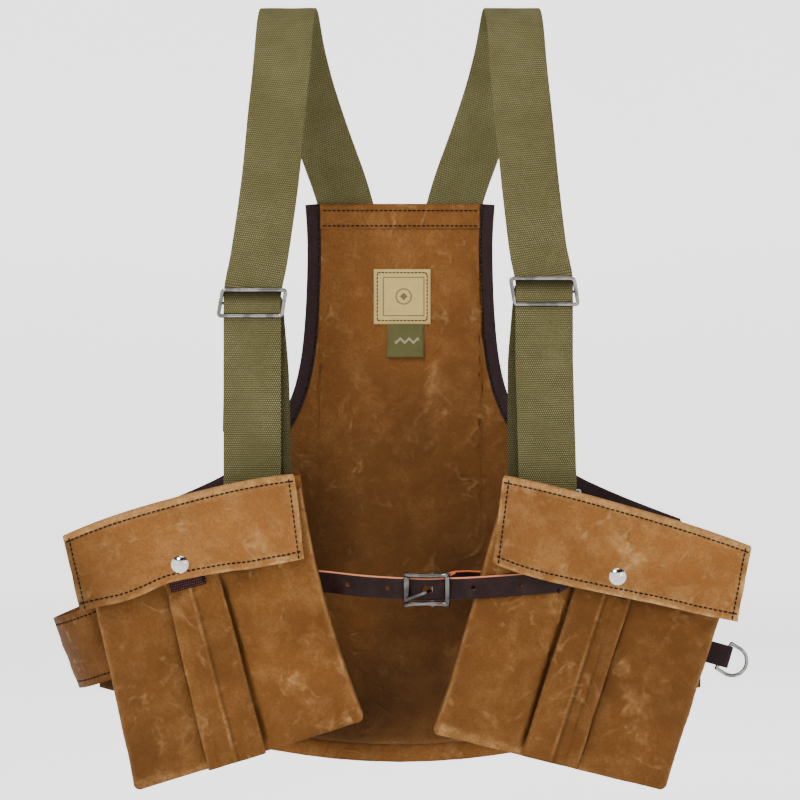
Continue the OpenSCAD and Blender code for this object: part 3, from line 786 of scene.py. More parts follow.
straps, loops, tails, humps = {}, {}, {}, {}
for side, s in (("left", -1), ("right", 1)):
    j = J[side + "_slider_slide"]
    zs = j["pos_m"][2]
    a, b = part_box(side + "_strap")
    straps[side] = ribbon("strap_web_" + side, strap_line(side), (1, 0, 0), 50 * MM, 2.1 * MM, OLIVE,
                          seg=20, wave=0.9 * MM, seed=3 + s, quiet=calm((zs - 0.07, zs + 0.03)))
    length(strap_line(side))
    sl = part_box(side + "_slider")
    bar_y = sl[1][1] - 1.5 * MM
    bar_x = (sl[0][0] + sl[1][0]) / 2
    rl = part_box(side + "_strap_ring")
    zr, xr = rl[1][2] - 1.5 * MM, (rl[0][0] + rl[1][0]) / 2
    yk = (rl[0][1] + rl[1][1]) / 2 + 3 * MM
    up = [(xr - s * 10 * MM, yk, zr + 0.3 * MM), (bar_x - s * 7 * MM, yk, zs - 60 * MM),
          (bar_x - s * 3 * MM, bar_y + 2.8 * MM, zs - 14 * MM)]
    turn = [(bar_x - s * MM, bar_y + 2.8 * MM * math.cos(t), zs + 2 * MM + 2.8 * MM * math.sin(t)) for t in np.linspace(0, math.pi, 12)]
    down = [(bar_x, bar_y - 2.8 * MM, zs - 12 * MM), (bar_x, yk - 2.2 * MM, zs - 40 * MM), (bar_x + s * 1.5 * MM, yk - 2.2 * MM, zs - 112 * MM)]
    line = np.concatenate([relax(resample(up, 3 * MM), 6), turn, relax(resample(down, 3 * MM), 6)])
    keep = np.concatenate([[True], np.linalg.norm(np.diff(line, axis=0), axis=1) > 2e-5])
    line = line[keep]
    loops[side] = ribbon("strap_return_" + side, line, (1, 0, 0), 49 * MM, 1.6 * MM, OLIVE, seg=16)
    # painted shade: the returning strap end is darkened throughout
    paint(loops[side], "soil", [0.55] * len(loops[side].data.vertices))
    # the strap rises between the slider's bars, over the hidden one, wherever the slider stands
    face = (rl[0][1] + rl[1][1]) / 2 - 4.1 * MM
    h_ = (sl[1][2] - sl[0][2]) / 2 - 2.6 * MM
    rise = [(bar_x, face + 0.3 * MM - 2.7 * MM * math.cos(t) ** 0.6, zs + h_ * math.sin(t)) for t in np.linspace(-1.5, 1.5, 15)]
    humps[side] = ribbon("strap_rise_" + side, rise, (1, 0, 0), 49.6 * MM, 0.9 * MM, OLIVE, seg=20, cup=-0.5 * MM)
    # painted shade: darker towards the top, under the slider's upper bar
    z_ = np.array([v.co.z for v in humps[side].data.vertices])
    paint(humps[side], "soil", np.clip((z_ - z_.mean()) / (7 * MM), -0.2, 1) * 0.7 + 0.15)
    # ring tab
    zt = rl[0][2] + 1.5 * MM
    yr = (rl[0][1] + rl[1][1]) / 2
    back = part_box(side + "_pocket_back")[1][1]
    tp = [(xr, back + 0.92 * MM, zt - 52 * MM), (xr, back + 0.92 * MM, zt - 20 * MM), (xr, yr - 2.75 * MM, zt - 6 * MM)]
    tp += [(xr, yr + 2.75 * MM * math.cos(t), zt + 2.75 * MM * math.sin(t)) for t in np.linspace(math.pi, 0, 12)]
    tp += [(xr, yr + 2.4 * MM, zt - 7 * MM), (xr, back + 2.8 * MM, zt - 20 * MM), (xr, back + 2.8 * MM, zt - 52 * MM)]
    tails[side] = ribbon("ring_tab_web_" + side, resample(tp, 2 * MM), (1, 0, 0), 46 * MM, 1.7 * MM, TAB, seg=12)


# ---------------------------------------------------------------- sliders
def rounded_loop(x0, x1, z0, z1, y, r, step=5, shear=0.0):
    pts = []
    for cx, cz, a0 in ((x1 - r, z1 - r, 0), (x0 + r, z1 - r, 90), (x0 + r, z0 + r, 180), (x1 - r, z0 + r, 270)):
        for k in range(step + 1):
            a = math.radians(a0 + 90 * k / step)
            pts.append((cx + r * math.cos(a), y, cz + r * math.sin(a)))
    pts = np.array(pts)
    full = []
    for i in range(len(pts)):
        a, b = pts[i], pts[(i + 1) % len(pts)]
        n = max(1, int(np.linalg.norm(b - a) / (3 * MM)))
        for k in range(n):
            full.append(a + (b - a) * k / n)
    full = np.array(full)
    full[:, 0] += shear * (full[:, 2] - (z0 + z1) / 2)
    return full


sliders = {}
for side, s in (("left", -1), ("right", 1)):
    a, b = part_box(side + "_slider")
    r = 1.5 * MM
    yf, yb = a[1] + r, b[1] - r
    zc = (a[2] + b[2]) / 2
    lp = rounded_loop(a[0] + r, b[0] - r, a[2] + r, b[2] - r, yf, 2.6 * MM, shear=-0.16 * s)
    bits = [tube("w", lp, 1.75 * MM, CHROME, closed=True, depth=1.4 * MM)]
    bits.append(tube("w", [(a[0] + r, yf, zc), (a[0] + r, yb, zc)], 1.25 * MM, CHROME))
    bits.append(tube("w", [(b[0] - r, yf, zc), (b[0] - r, yb, zc)], 1.25 * MM, CHROME))
    bits.append(tube("w", [(x, yb, zc) for x in np.linspace(a[0] + 0.3 * MM, b[0] - 0.3 * MM, 8)], 1.4 * MM, CHROME))
    sliders[side] = join("slider_wire_" + side, bits)


# ---------------------------------------------------------------- pockets
class Hang:
    """A pocket's own frame: u across, y depth, v up, from its hinge joint."""

    def __init__(self, side):
        j = J[side + "_flap_hinge"]
        self.o, self.u = np.array(j["pos_m"], float), -np.array(j["axis"], float)
        self.v = np.array([-self.u[2], 0.0, self.u[0]])

    def out(self, u, y, v):
        u, y, v = np.broadcast_arrays(np.asarray(u, float), y, v)
        return np.stack([self.o[0] + u * self.u[0] + v * self.v[0], y, self.o[2] + u * self.u[2] + v * self.v[2]], -1)

    def local(self, p):
        d = np.asarray(p, float) - self.o
        return np.stack([d @ self.u, np.asarray(p, float)[..., 1], d @ self.v], -1)

    def span(self, node):
        p = self.local(tris(node).reshape(-1, 3))
        return p.min(0), p.max(0)


def simulate(ob, pins, frames, pressure, cap):
    """Blow cloth out gently from a flat bag; no point moves more than cap."""
    start = np.array([v.co for v in ob.data.vertices])
    g = ob.vertex_groups.new(name="pin")
    for i, w in pins.items():
        g.add([i], w, "REPLACE")
    m = ob.modifiers.new("cloth", "CLOTH")
    c = m.settings
    c.quality = 10
    c.mass = 0.3
    c.air_damping = 1.0
    c.tension_stiffness = c.compression_stiffness = 15
    c.tension_damping = c.compression_damping = 10
    c.shear_stiffness = 5
    c.bending_stiffness = 0.5
    c.vertex_group_mass = "pin"
    c.use_pressure = True
    c.uniform_pressure_force = pressure
    c.effector_weights.gravity = 0
    m.collision_settings.use_collision = False
    m.collision_settings.use_self_collision = False
    m.point_cache.frame_start, m.point_cache.frame_end = 1, frames
    sc = bpy.context.scene
    sc.frame_start, sc.frame_end = 1, frames
    for f in range(1, frames + 1):
        sc.frame_set(f)
    bake(ob)
    ob.vertex_groups.clear()
    sc.frame_set(1)
    move = np.nan_to_num(np.array([v.co for v in ob.data.vertices]) - start)
    far = np.linalg.norm(move, axis=1)
    print("SIM", ob.name, "mean mm", round(float(far.mean()) * 1000, 2), "max mm", round(float(far.max()) * 1000, 2), file=sys.stderr)
    move *= (np.minimum(far, cap) / np.maximum(far, 1e-9))[:, None]
    ob.data.vertices.foreach_set("co", (start + move).astype(np.float32).ravel())


def hem(s, v):
    """Where a pocket's side edges lie at height v: the hand-cut edges aren't quite square."""
    if s < 0:
        return -89.6 * MM + 0.047 * v, 99.2 * MM + 5.4 * MM * ((v + 112 * MM) / (99 * MM)) ** 2
    return -104.5 * MM - 4.6 * MM * np.maximum(0, (-v - 165 * MM) / (65 * MM)) ** 2, 104.2 * MM + 0.027 * v


def trim(s, q, u0, u1, v0):
    """Fit points to the pocket's worn outline, with soft lower corners."""
    q = np.array(q, float)
    f = (q[..., 0] - u0) / (u1 - u0)
    a, b = hem(s, q[..., 2])
    du, dv, r = np.minimum(f, 1 - f) * (u1 - u0), q[..., 2] - v0, 7 * MM
    cu, cv = np.maximum(r - du, 0), np.maximum(r - dv, 0)
    k = np.minimum(1, r / np.maximum(np.hypot(cu, cv), 1e-9))
    shift = cu * (1 - k) * np.where(f < 0.5, 1, -1)
    u = a + (b - a) * f + shift
    v = q[..., 2] + cv * (1 - k) * (dv < r)
    v = v + (0.036 * u + (-1.5 * MM if s > 0 else 0.3 * MM)) * np.clip(v / v0, 0, 1)
    return np.stack([u, q[..., 1], v], -1)


def seam(s, v, top, bottom):
    """Left edge, crease and right edge of the strip at height v."""
    t = np.clip((-66 * MM - v) / (157 * MM), -0.4, 1.05)
    if s < 0:
        return (-30.1 - 4.5 * t) * MM, (-9.2 - 0.7 * t) * MM, (17.0 - 0.3 * t) * MM
    return (-23.8 - 4.9 * t) * MM, (1.2 - 5.0 * t) * MM, (24.6 - 4.5 * t) * MM


strap_z = J["roller_turn"]["pos_m"][2]
pockets = {}
for side, s in (("left", -1), ("right", 1)):
    h = Hang(side)
    seed = 2.0 if s < 0 else 6.5
    a, b = h.span(side + "_pocket_front")
    snap = h.span(side + "_snap_stud")
    su, sv = (snap[0][0] + snap[1][0]) / 2, (snap[0][2] + snap[1][2]) / 2
    st = h.span(side + "_pleat_strip")
    # pocket front with its sides and bottom, as one open bag
    u0, u1, v0, v1 = a[0] + 0.8 * MM, b[0] - 0.8 * MM, a[2] + 0.8 * MM, b[2] - 0.3 * MM
    y0, y1 = a[1] + 0.8 * MM, b[1] - 0.1 * MM
    nu, nv, nd = 60, 62, 6
    U, V, Y = np.linspace(u0, u1, nu), np.linspace(v1, v0, nv), np.linspace(y1, y0, nd)
    quads, verts, seen = [], [], {}

    def vid(u, y, v):
        k = (round(u * 1e6), round(y * 1e6), round(v * 1e6))
        if k not in seen:
            seen[k] = len(verts)
            verts.append((u, y, v))
        return seen[k]

    for i in range(nu - 1):
        for k in range(nv - 1):
            quads.append([vid(U[i], y0, V[k]), vid(U[i], y0, V[k + 1]), vid(U[i + 1], y0, V[k + 1]), vid(U[i + 1], y0, V[k])])
    for d in range(nd - 1):
        for k in range(nv - 1):
            quads.append([vid(u0, Y[d], V[k]), vid(u0, Y[d], V[k + 1]), vid(u0, Y[d + 1], V[k + 1]), vid(u0, Y[d + 1], V[k])])
            quads.append([vid(u1, Y[d + 1], V[k]), vid(u1, Y[d + 1], V[k + 1]), vid(u1, Y[d], V[k + 1]), vid(u1, Y[d], V[k])])
        for i in range(nu - 1):
            quads.append([vid(U[i], Y[d + 1], v0), vid(U[i], Y[d], v0), vid(U[i + 1], Y[d], v0), vid(U[i + 1], Y[d + 1], v0)])
    L = np.array(verts)
    W = h.out(L[:, 0], L[:, 1], L[:, 2])
    bag = mesh_object("pocket_bag_" + side, W, quads, POCKET)
    pins = {}
    for i, (u, y, v) in enumerate(L):
        strip_edge = min(abs(u - st[0][0]), abs(u - st[1][0])) < 3 * MM and y < y0 + MM
        if y > y1 - 0.1 * MM or strip_edge or (math.hypot(u - su, v - sv) < 24 * MM and y < y0 + MM) or v > v1 - 1 * MM:
            pins[i] = 1.0
    simulate(bag, pins, 18, 2.0, 6 * MM)
    me = bag.data
    co = np.array([v.co for v in me.vertices])
    q = h.local(co)
    over = np.minimum(q[:, 1] - y0, 0)
    q[:, 1] = np.where(over < 0, y0 + 3.0 * MM * np.tanh(over / (3.0 * MM)), q[:, 1])
    q[:, 1] = np.minimum(q[:, 1], y1)
    q[:, 0] = np.clip(q[:, 0], u0 - 5 * MM, u1 + 5 * MM)
    q[:, 2] = np.maximum(q[:, 2], v0 - 6 * MM)
    co = h.out(q[:, 0], q[:, 1], q[:, 2])
    me.vertices.foreach_set("co", co.astype(np.float32).ravel())
    m = bag.modifiers.new("sub", "SUBSURF")
    m.subdivision_type = "SIMPLE"
    m.levels = m.render_levels = 1
    bake(bag)
    me = bag.data
    q = h.local(np.array([v.co for v in me.vertices]))
    q = trim(s, q, u0, u1, v0)
    e0, _, e1 = seam(s, q[:, 2], st[1][2], st[0][2])
    crisp, soft = (q[:, 0] - e1, e0 - q[:, 0]) if s < 0 else (e0 - q[:, 0], q[:, 0] - e1)
    fade = np.clip((-q[:, 2] - 50 * MM) / (30 * MM), 0, 1) * np.clip((q[:, 2] - v0) / (14 * MM), 0.25, 1)
    groove = 6.0 * MM * np.exp(-((crisp - 1.6 * MM) / (2.4 * MM)) ** 2) * fade
    slope = 4.2 * MM * np.exp(-np.maximum(soft, 0) / (9 * MM)) * (soft > -12 * MM) * fade
    face = np.clip((y0 + 8 * MM - q[:, 1]) / (8 * MM), 0, 1)
    wear, soil = np.zeros(len(q)), np.zeros(len(q))
    ea, eb = hem(s, q[:, 2])
    rim = np.minimum(np.minimum(q[:, 0] - ea, eb - q[:, 0]), q[:, 2] - v0 + 0.036 * q[:, 0])
    for i in range(len(q)):
        p = (q[i, 0], q[i, 1], q[i, 2])
        near = min(1.0, max(0.0, (math.hypot(q[i, 0] - su, q[i, 2] - sv) - 22 * MM) / (18 * MM)))
        q[i, 1] += face[i] * near * (1.9 * MM * wob(p, 15, seed, 3) + 1.5 * MM * ridge(p, 13, seed, 4.5) + 0.5 * MM * wob(p, 55, seed + 9, 2))
        q[i, 0] += 0.5 * MM * wob(p, 30, seed + 4, 2)
        wear[i] = 0.75 * math.exp(-(max(rim[i], 0) / (2.6 * MM)) ** 2) * (0.6 + 0.5 * wob(p, 60, seed, 2)) * (face[i] > 0.2)
        soil[i] = 0.18 + 0.18 * wob(p, 9, seed + 2, 3) + q[i, 0] * (-1.6 if s < 0 else 0.7)
    # painted shade: besides random dirt, the bag is darkened towards one side, in the pleat's groove and on its slope
    # (painted shadow), and on its sides and bottom
    soil += 0.55 * np.exp(-((crisp - 1.2 * MM) / (1.8 * MM)) ** 2) * fade + 0.30 * np.exp(-np.maximum(soft, 0) / (7 * MM)) * (soft > -4 * MM) * fade
    soil += 0.25 * (face < 0.5)
    q[:, 1] += face * (groove + slope)
    if s > 0:
        # flat under the leather strap that lies across this pocket
        w_ = h.out(q[:, 0], q[:, 1], q[:, 2])
        run = strap_z + 5.5 * MM * (np.abs(w_[:, 0] - 22 * MM) / (94 * MM)) ** 1.4
        under = np.clip(1.6 - np.abs(w_[:, 2] - run) / (14 * MM), 0, 1) * np.clip((156 * MM - w_[:, 0]) / (10 * MM), 0, 1)
        q[:, 1] = np.where(face > 0.3, np.maximum(q[:, 1], y0 + 0.3 * MM) * under + q[:, 1] * (1 - under), q[:, 1])
    co = h.out(q[:, 0], q[:, 1], q[:, 2])
    me.vertices.foreach_set("co", co.astype(np.float32).ravel())
    paint(bag, "wear", np.clip(wear, 0, 1))
    paint(bag, "soil", np.clip(soil, 0, 0.85))
    thicken(bag, 1.4 * MM, -1.0)
    deep = y1 - y0
    # back sheet
    a, b = h.span(side + "_pocket_back")
    uu, vv = np.meshgrid(np.linspace(a[0], b[0], 60), np.linspace(b[2], a[2], 66))
    yy = np.full(uu.shape, (a[1] + b[1]) / 2)
    q = trim(s, np.stack([uu, yy, vv], -1), a[0], b[0], a[2])
    rear = grid("pocket_back_cloth_" + side, h.out(q[..., 0], q[..., 1], q[..., 2]), POCKET, 1.4 * MM, flip=True)
    # pleat strip up the front
    bagt = trees([bag])
    nS, nT = 44, 130
    P, wear, soil = np.zeros((nT, nS, 3)), np.zeros((nT, nS)), np.zeros((nT, nS))
    for r in range(nT):
        t = r / (nT - 1)
        v = st[1][2] - (st[1][2] - st[0][2] + 1.2 * MM) * t
        e0, crease, e1 = seam(s, v, st[1][2], st[0][2])
        for c in range(nS):
            f = c / (nS - 1)
            u = e0 + (e1 - e0) * f
            u += 0.8 * MM * wob((u, 0, v), 16, seed + 1, 2) * (abs(f - 0.5) * 2)
            vv_ = v + 0.036 * u * min(1, max(0, v / v0))
            hit = cast(bagt, h.out(u, y0, vv_), (0, 1, 0), 0.03)
            y = y0 if hit is None else min(hit[1], y0 + 2.4 * MM)
            free = f if s < 0 else 1 - f
            open_ = math.sin(math.pi * min(1, max(0, (t - 0.24) / 0.76)) ** 0.9) if t > 0.24 else 0.0
            fold = math.exp(-((u - crease) / (1.5 * MM)) ** 2)
            rise = 1.1 * MM + 2.6 * MM * free ** 2 * open_ + 0.9 * MM * fold + 0.5 * MM * wob((u, 0, v), 34, seed + 5, 3)
            tuck = 1.3 * MM * (max(0, 1 - f / 0.03) + max(0, 1 - (1 - f) / 0.03))
            P[r, c] = h.out(u, y - max(rise - tuck, 0.15 * MM), vv_)
            patch = 0.55 + 0.6 * wob((u, 0, v), 45, seed + 3, 3)
            wear[r, c] = patch * (0.95 * math.exp(-((u - crease) / (1.0 * MM)) ** 2) + 0.65 * math.exp(-(f * (e1 - e0) / (1.6 * MM)) ** 2)
                                  + 0.65 * math.exp(-((1 - f) * (e1 - e0) / (1.6 * MM)) ** 2))
            # random dirt, plus a painted shadow line beside the crease
            soil[r, c] = 0.24 + 0.16 * wob((u, 0, v), 12, seed + 3, 3) + 0.30 * math.exp(-((u - crease - 2.6 * MM) / (1.4 * MM)) ** 2)
    for c in range(nS):
        P[:, c, 1] = relax(P[:, c, 1], 2)
    strip = grid("pleat_strip_" + side, P, POCKET, 1.2 * MM, flip=True, wear=np.clip(wear, 0, 1), soil=np.clip(soil, 0, 0.8))
    # flap, one cloth from the pocket back over the fold and down
    F = h.local(tris(side + "_flap").reshape(-1, 3))
    w = F[F[:, 2] > -2 * MM][:, 0].max()
    low = np.unique(np.round(F[F[:, 2] < F[:, 2].min() * 0.8][:, [0, 2]], 5), axis=0)
    low = low[np.argsort(low[:, 0])]
    nS, nT = 150, 58
    ub = np.linspace(low[0, 0], low[-1, 0], nS)
    vb = relax(np.stack([ub, np.interp(ub, low[:, 0], low[:, 1])], 1), 12)[:, 1]
    vb = vb + np.array([1.1 * MM * wob((u, seed, 0), 26, seed + 6, 2) * min(1, abs(u - su) / (30 * MM)) for u in ub])
    R = h.span(side + "_flap_root")
    yr, yfront = R[1][1] - 0.2 * MM, J[side + "_flap_hinge"]["pos_m"][1] - 0.8 * MM
    P, wear, soil = [], [], []
    inset, foot = 5.0 * MM, 6.5 * MM
    rise = 7.0 * MM if s < 0 else 4.0 * MM
    for c in range(nS):
        f = c / (nS - 1)
        g = 2 * f - 1
        ur = R[0][0] + 1 * MM + (R[1][0] - R[0][0] - 2 * MM) * f
        ut = -w + 2 * w * f
        hump = rise * (1 - abs(g) ** 2.6)
        col = [(ur, yr, -1.0 * MM), (ur, yr - 8 * MM, -0.9 * MM + 0.1 * hump), (ur, yr - 16 * MM, -0.7 * MM + 0.4 * hump),
               (ur + (ut - ur) * 0.2, yr - 23 * MM, -0.3 * MM + 0.8 * hump), (ur + (ut - ur) * 0.6, yfront + 4.5 * MM, 0.8 * MM + hump),
               (ur + (ut - ur) * 0.9, yfront + 1.6 * MM, 0.9 * MM + hump), (ut, yfront + 0.2 * MM, -0.6 * MM + hump * 0.92),
               (ut, yfront - 0.1 * MM, -3.2 * MM + hump * 0.8)]
        wr = [0, 0, 0.05, 0.1, 0.2, 0.35, 0.5, 0.5]
        sl = [0.5, 0.45, 0.4, 0.3, 0.2, 0.1, 0.05, 0.05]
        base_v = -3.2 * MM + hump * 0.8
        for r in range(1, nT + 1):
            t = r / nT
            u = ut + (ub[c] - ut) * t
            v = base_v + (vb[c] - base_v) * t
            p = (u, 0.0, v)
            near = min(1.0, math.hypot((u - su) / (30 * MM), (v - sv) / (26 * MM)))
            near = near * near * (3 - 2 * near)
            out = near * t * (2.4 * MM * (0.55 + wob((u, 0, 0), 15, seed, 2)) + 1.4 * MM * abs(g) ** 3)
            out += near * (0.9 * MM * wob(p, 24, seed + 2, 3) + 0.7 * MM * ridge(p, 16, seed + 1, 5)) * min(1, t * 3)
            e = min((1 - t) * 68 * MM, (1 - abs(g)) * w)
            seamed = min(abs((1 - abs(g)) * w - inset), abs(v - vb[c] - foot), abs(v - base_v + 1.5 * MM))
            along = u if abs(v - vb[c] - foot) < 3 * MM or abs(v - base_v) < 5 * MM else v
            tight = math.exp(-(seamed / (1.5 * MM)) ** 2)
            pucker = math.exp(-(seamed / (4.0 * MM)) ** 2) * 0.16 * MM * math.sin(along * 2 * math.pi / (4.3 * MM))
            pucker += math.exp(-(seamed / (8.0 * MM)) ** 2) * 0.8 * MM * wob((along * 1.0, seed, 0), 90, seed, 2)
            lift = max(out, -0.3 * MM) - 0.5 * MM * tight + pucker
            col.append((u + 0.8 * MM * abs(g) ** 8 * wob(p, 40, seed, 2), yfront - lift, v))
            patch = 0.55 + 0.9 * wob(p, 60, seed + 7, 3)
            wr.append(max(0.0, min(1, 0.95 * math.exp(-(e / (2.4 * MM)) ** 2) * patch + 0.40 * math.exp(-(seamed / (2.6 * MM)) ** 2) * patch)))
            # random dirt, plus painted shade darkening each flap towards one end, the left flap much more
            sl.append(max(0.0, (0.55 * max(0, -g) ** 1.6 if s < 0 else 0.14 * max(0, -g)) + 0.08 + 0.18 * wob(p, 10, seed + 3, 3)))
        P.append(col)
        wear.append(wr)
        soil.append(sl)
    P = np.array(P).transpose(1, 0, 2)
    flap = grid("flap_cloth_" + side, h.out(P[:, :, 0], P[:, :, 1], P[:, :, 2]), FLAP, 1.5 * MM, flip=False,
                wear=np.array(wear).T, soil=np.array(soil).T)
    # stud tab
    a, b = h.span(side + "_stud_tab")
    uu, vv = np.meshgrid(np.linspace(a[0], b[0], 16), np.linspace(b[2], a[2], 20))
    yy = np.full(uu.shape, (a[1] + b[1]) / 2)
    tab = grid("stud_tab_web_" + side, h.out(uu, yy, vv), TAB, 1.4 * MM, flip=True)
    # side band
    reach = 1.0 if s < 0 else 0.62
    bl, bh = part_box(side + "_side_band")
    yb0, yb1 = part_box(side + "_pocket_back")[1][1], lo[1]
    over = 0.0 if s < 0 else 2.6 * MM
    line = spline([(-12 * MM, yb0 + 1.1 * MM + over), (8 * MM * reach, yb0 + 1.5 * MM + over), (28 * MM * reach, yb0 + 6 * MM + over),
                   (48 * MM * reach, yb0 + 24 * MM), (61 * MM * reach, 0), (48 * MM * reach, yb1 - 24 * MM),
                   (28 * MM * reach, yb1 - 6 * MM), (8 * MM * reach, yb1 - 1.5 * MM), (-12 * MM, yb1 - 1.1 * MM)], 12)
    ang = math.radians(21)
    ux, uz = math.cos(ang), -math.sin(ang)
    P = []
    for k in range(22):
        t = k / 21
        row = []
        for i, (e, y) in enumerate(line):
            v = 33 * MM - 66 * MM * t
            q = (e, y, v)
            free = math.sin(math.pi * i / (len(line) - 1)) ** 1.5
            e2 = e + free * (1.2 * MM * wob(q, 18, seed, 2) + 0.8 * MM * ridge(q, 20, seed, 4)) + free * 1.5 * MM * (t - 0.5)
            row.append((s * (0.240 + e2 * ux + v * math.sin(ang) * 1.0), y, -0.552 + e2 * uz + v * math.cos(ang)))
        P.append(row)
    P = np.array(P)
    # painted shade: the side band is darkened evenly
    band = grid("side_band_cloth_" + side, P, POCKET, 1.3 * MM, flip=(s < 0), soil=np.full(P.shape[:2], 0.34))
    pockets[side] = dict(h=h, bag=bag, rear=rear, strip=strip, flap=flap, tab=tab, band=band, band_grid=P,
                         w=w, ub=ub, vb=vb, st=st, su=su, sv=sv)

    # thread on the flap: along the fold, down both sides, along the bottom

    def fl(u, v):
        return h.out(u, yfront, v)

    top_line = [fl(u, -4.5 * MM + rise * 0.85 * (1 - abs(u / w) ** 2.6)) for u in np.linspace(-w + 1 * MM, w - 1 * MM, 40)]
    left_line = [fl(-w + inset + (ub[0] + w) * t, -1 * MM + (vb[0] + 1 * MM) * t) for t in np.linspace(0.0, 0.995, 12)]
    right_line = [fl(w - inset + (ub[-1] - w) * t, -1 * MM + (vb[-1] + 1 * MM) * t) for t in np.linspace(0.0, 0.995, 12)]
    bot_line = [fl(ub[i], vb[i] + foot) for i in range(1, nS - 1)]
    th = stitches("flap_thread_" + side, [top_line, left_line, right_line, bot_line], THREAD, [flap], (0, 1, 0), back=0.03)
    pockets[side]["flap_thread"] = th
    # thread on the pocket: back seams
    runs = []
    rs = h.span(side + "_pocket_back")
    for k in (4 * MM, 9 * MM):
        runs.append([h.out(u, 0, rs[0][2] + k) for u in np.linspace(rs[0][0] + k, rs[1][0] - k, 50)])
    for u in (rs[0][0] + 4 * MM, rs[1][0] - 4 * MM):
        runs.append([h.out(u, 0, v) for v in np.linspace(rs[0][2] + 4 * MM, rs[1][2] - 4 * MM, 50)])
    pockets[side]["rear_thread"] = stitches("pocket_back_thread_" + side, [[p + np.array([0, -0.06, 0]) for p in r] for r in runs],
                                            THREAD, [rear], (0, -1, 0), back=0.05)
    # bartack on the stud tab
    bt = []
    for k in range(7):
        uu0 = b[0] - 3.2 * MM + 0.5 * MM * (k % 2)
        v0_ = a[2] + 2 * MM + 1.8 * MM * k
        bt.append([h.out(uu0, 0, v0_) + np.array([0, -0.085, 0]), h.out(uu0 + 2.6 * MM, 0, v0_ + 0.8 * MM) + np.array([0, -0.085, 0])])
    pockets[side]["tack"] = stitches("tab_bartack_" + side, bt, THREAD, [tab], (0, 1, 0), pitch=2.6 * MM, length=2.4 * MM, back=0.03)
    # side band seams, front and back halves
    runs = []
    for k in (2, 19):
        runs.append(P[k, 6:46])
        runs.append(P[k, 52:80])
    fr = stitches("band_thread_" + side, [runs[0], runs[2]], THREAD, [band], (0, 1, 0), back=0.012)
    bk = stitches("band_thread_rear_" + side, [runs[1], runs[3]], THREAD, [band], (0, -1, 0), back=0.012)
    pockets[side]["band_thread"] = [fr, bk]

# ---------------------------------------------------------------- D-ring tab
h = pockets["right"]["h"]
d = J["d_ring_swing"]["pos_m"]
du, dy, dv = h.local(np.array(d))
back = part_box("right_pocket_back")[1][1]
tip = du + 2.8 * MM
tp = [(tip - 51 * MM, back + 0.62 * MM), (tip - 17 * MM, back + 0.62 * MM), (tip - 9 * MM, dy - 2.55 * MM)]
tp += [(tip + 2.65 * MM * math.cos(t), dy + 2.65 * MM * math.sin(t)) for t in np.linspace(-math.pi / 2, math.pi / 2, 12)]
tp += [(tip - 9 * MM, dy + 2.55 * MM), (tip - 17 * MM, back + 1.86 * MM), (tip - 51 * MM, back + 1.86 * MM)]
tp = resample(tp, 1.5 * MM)
dtab = ribbon("d_ring_web", h.out(tp[:, 0], tp[:, 1], np.full(len(tp), dv)), h.v, 19 * MM, 1.1 * MM, BROWN, seg=10)

# ---------------------------------------------------------------- leather straps
def with_holes(ob, spots, r):
    bits = []
    for x, y, z in spots:
        bpy.ops.mesh.primitive_cylinder_add(vertices=28, radius=r, depth=0.03, location=(x, y, z), rotation=(math.pi / 2, 0, 0))
        bits.append(bpy.context.active_object)
    for c in bits:
        m = ob.modifiers.new("hole", "BOOLEAN")
        m.operation, m.object, m.solver = "DIFFERENCE", c, "EXACT"
        bake(ob)
        bpy.data.objects.remove(c)
    return ob


a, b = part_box("billet_strap")
T3 = tris("billet_strap")
line = []
for x in np.arange(a[0] + 1.2 * MM, b[0] - 0.5 * MM, 1.6 * MM):
    p = cut(T3, 0, x)
    line.append(((x), (p[:, 1].min() + p[:, 1].max()) / 2, (p[:, 2].min() + p[:, 2].max()) / 2))
line = relax(np.array(line), 6)
billet = ribbon("billet_leather", line, (0, 0, 1), 19 * MM, 1.9 * MM, LEATHER, seg=10)
pivot, roll = J["tongue_pivot"]["pos_m"], J["roller_turn"]["pos_m"]
spots = []
for x in (pivot[0] - 73 * MM, pivot[0] - 39 * MM, pivot[0] + 35 * MM, pivot[0] + 75 * MM):
    spots.append((x, np.interp(x, line[:, 0], line[:, 1]), np.interp(x, line[:, 0], line[:, 2])))
with_holes(billet, spots, 1.8 * MM)
worn = [pivot[0] - k for k in (2.4 * MM, 5.4 * MM)]
with_holes(billet, [(x, np.interp(x, line[:, 0], line[:, 1]), pivot[2]) for x in worn], 3.3 * MM)
bz = pivot[2]
pk = np.array(pivot)
inner_back = back + 1.0 * MM
bp = [(84 * MM, inner_back, bz + 5 * MM), (66 * MM, inner_back + 0.3 * MM, bz + 5.4 * MM), (58 * MM, inner_back - 2.5 * MM, bz + 6 * MM),
      (48 * MM, inner_back - 7.5 * MM, bz + 6 * MM), (38 * MM, pk[1] + 5.1 * MM, bz + 3.2 * MM)]
bp += [(pk[0] + 2.25 * MM * math.cos(t), pk[1] + 2.25 * MM * math.sin(t), bz + 0.5 * MM) for t in np.radians(np.linspace(70, 270, 14))]
bp += [(33 * MM, pk[1] - 0.7 * MM, bz + 0.5 * MM), (39 * MM, pk[1] + 1.7 * MM, bz + 1.2 * MM), (50 * MM, pk[1] + 8 * MM, bz + 5.6 * MM)]
bstrap = ribbon("buckle_strap_leather", resample(bp, 1.2 * MM), (0, 0, 1), 18 * MM, 1.15 * MM, SHORT_LEATHER, seg=8)
bpy.ops.mesh.primitive_cube_add(size=1, location=(pk[0] - 1.2 * MM, pk[1], bz))
cube = bpy.context.active_object
cube.scale = (9 * MM, 12 * MM, 6 * MM)
m = bstrap.modifiers.new("slot", "BOOLEAN")
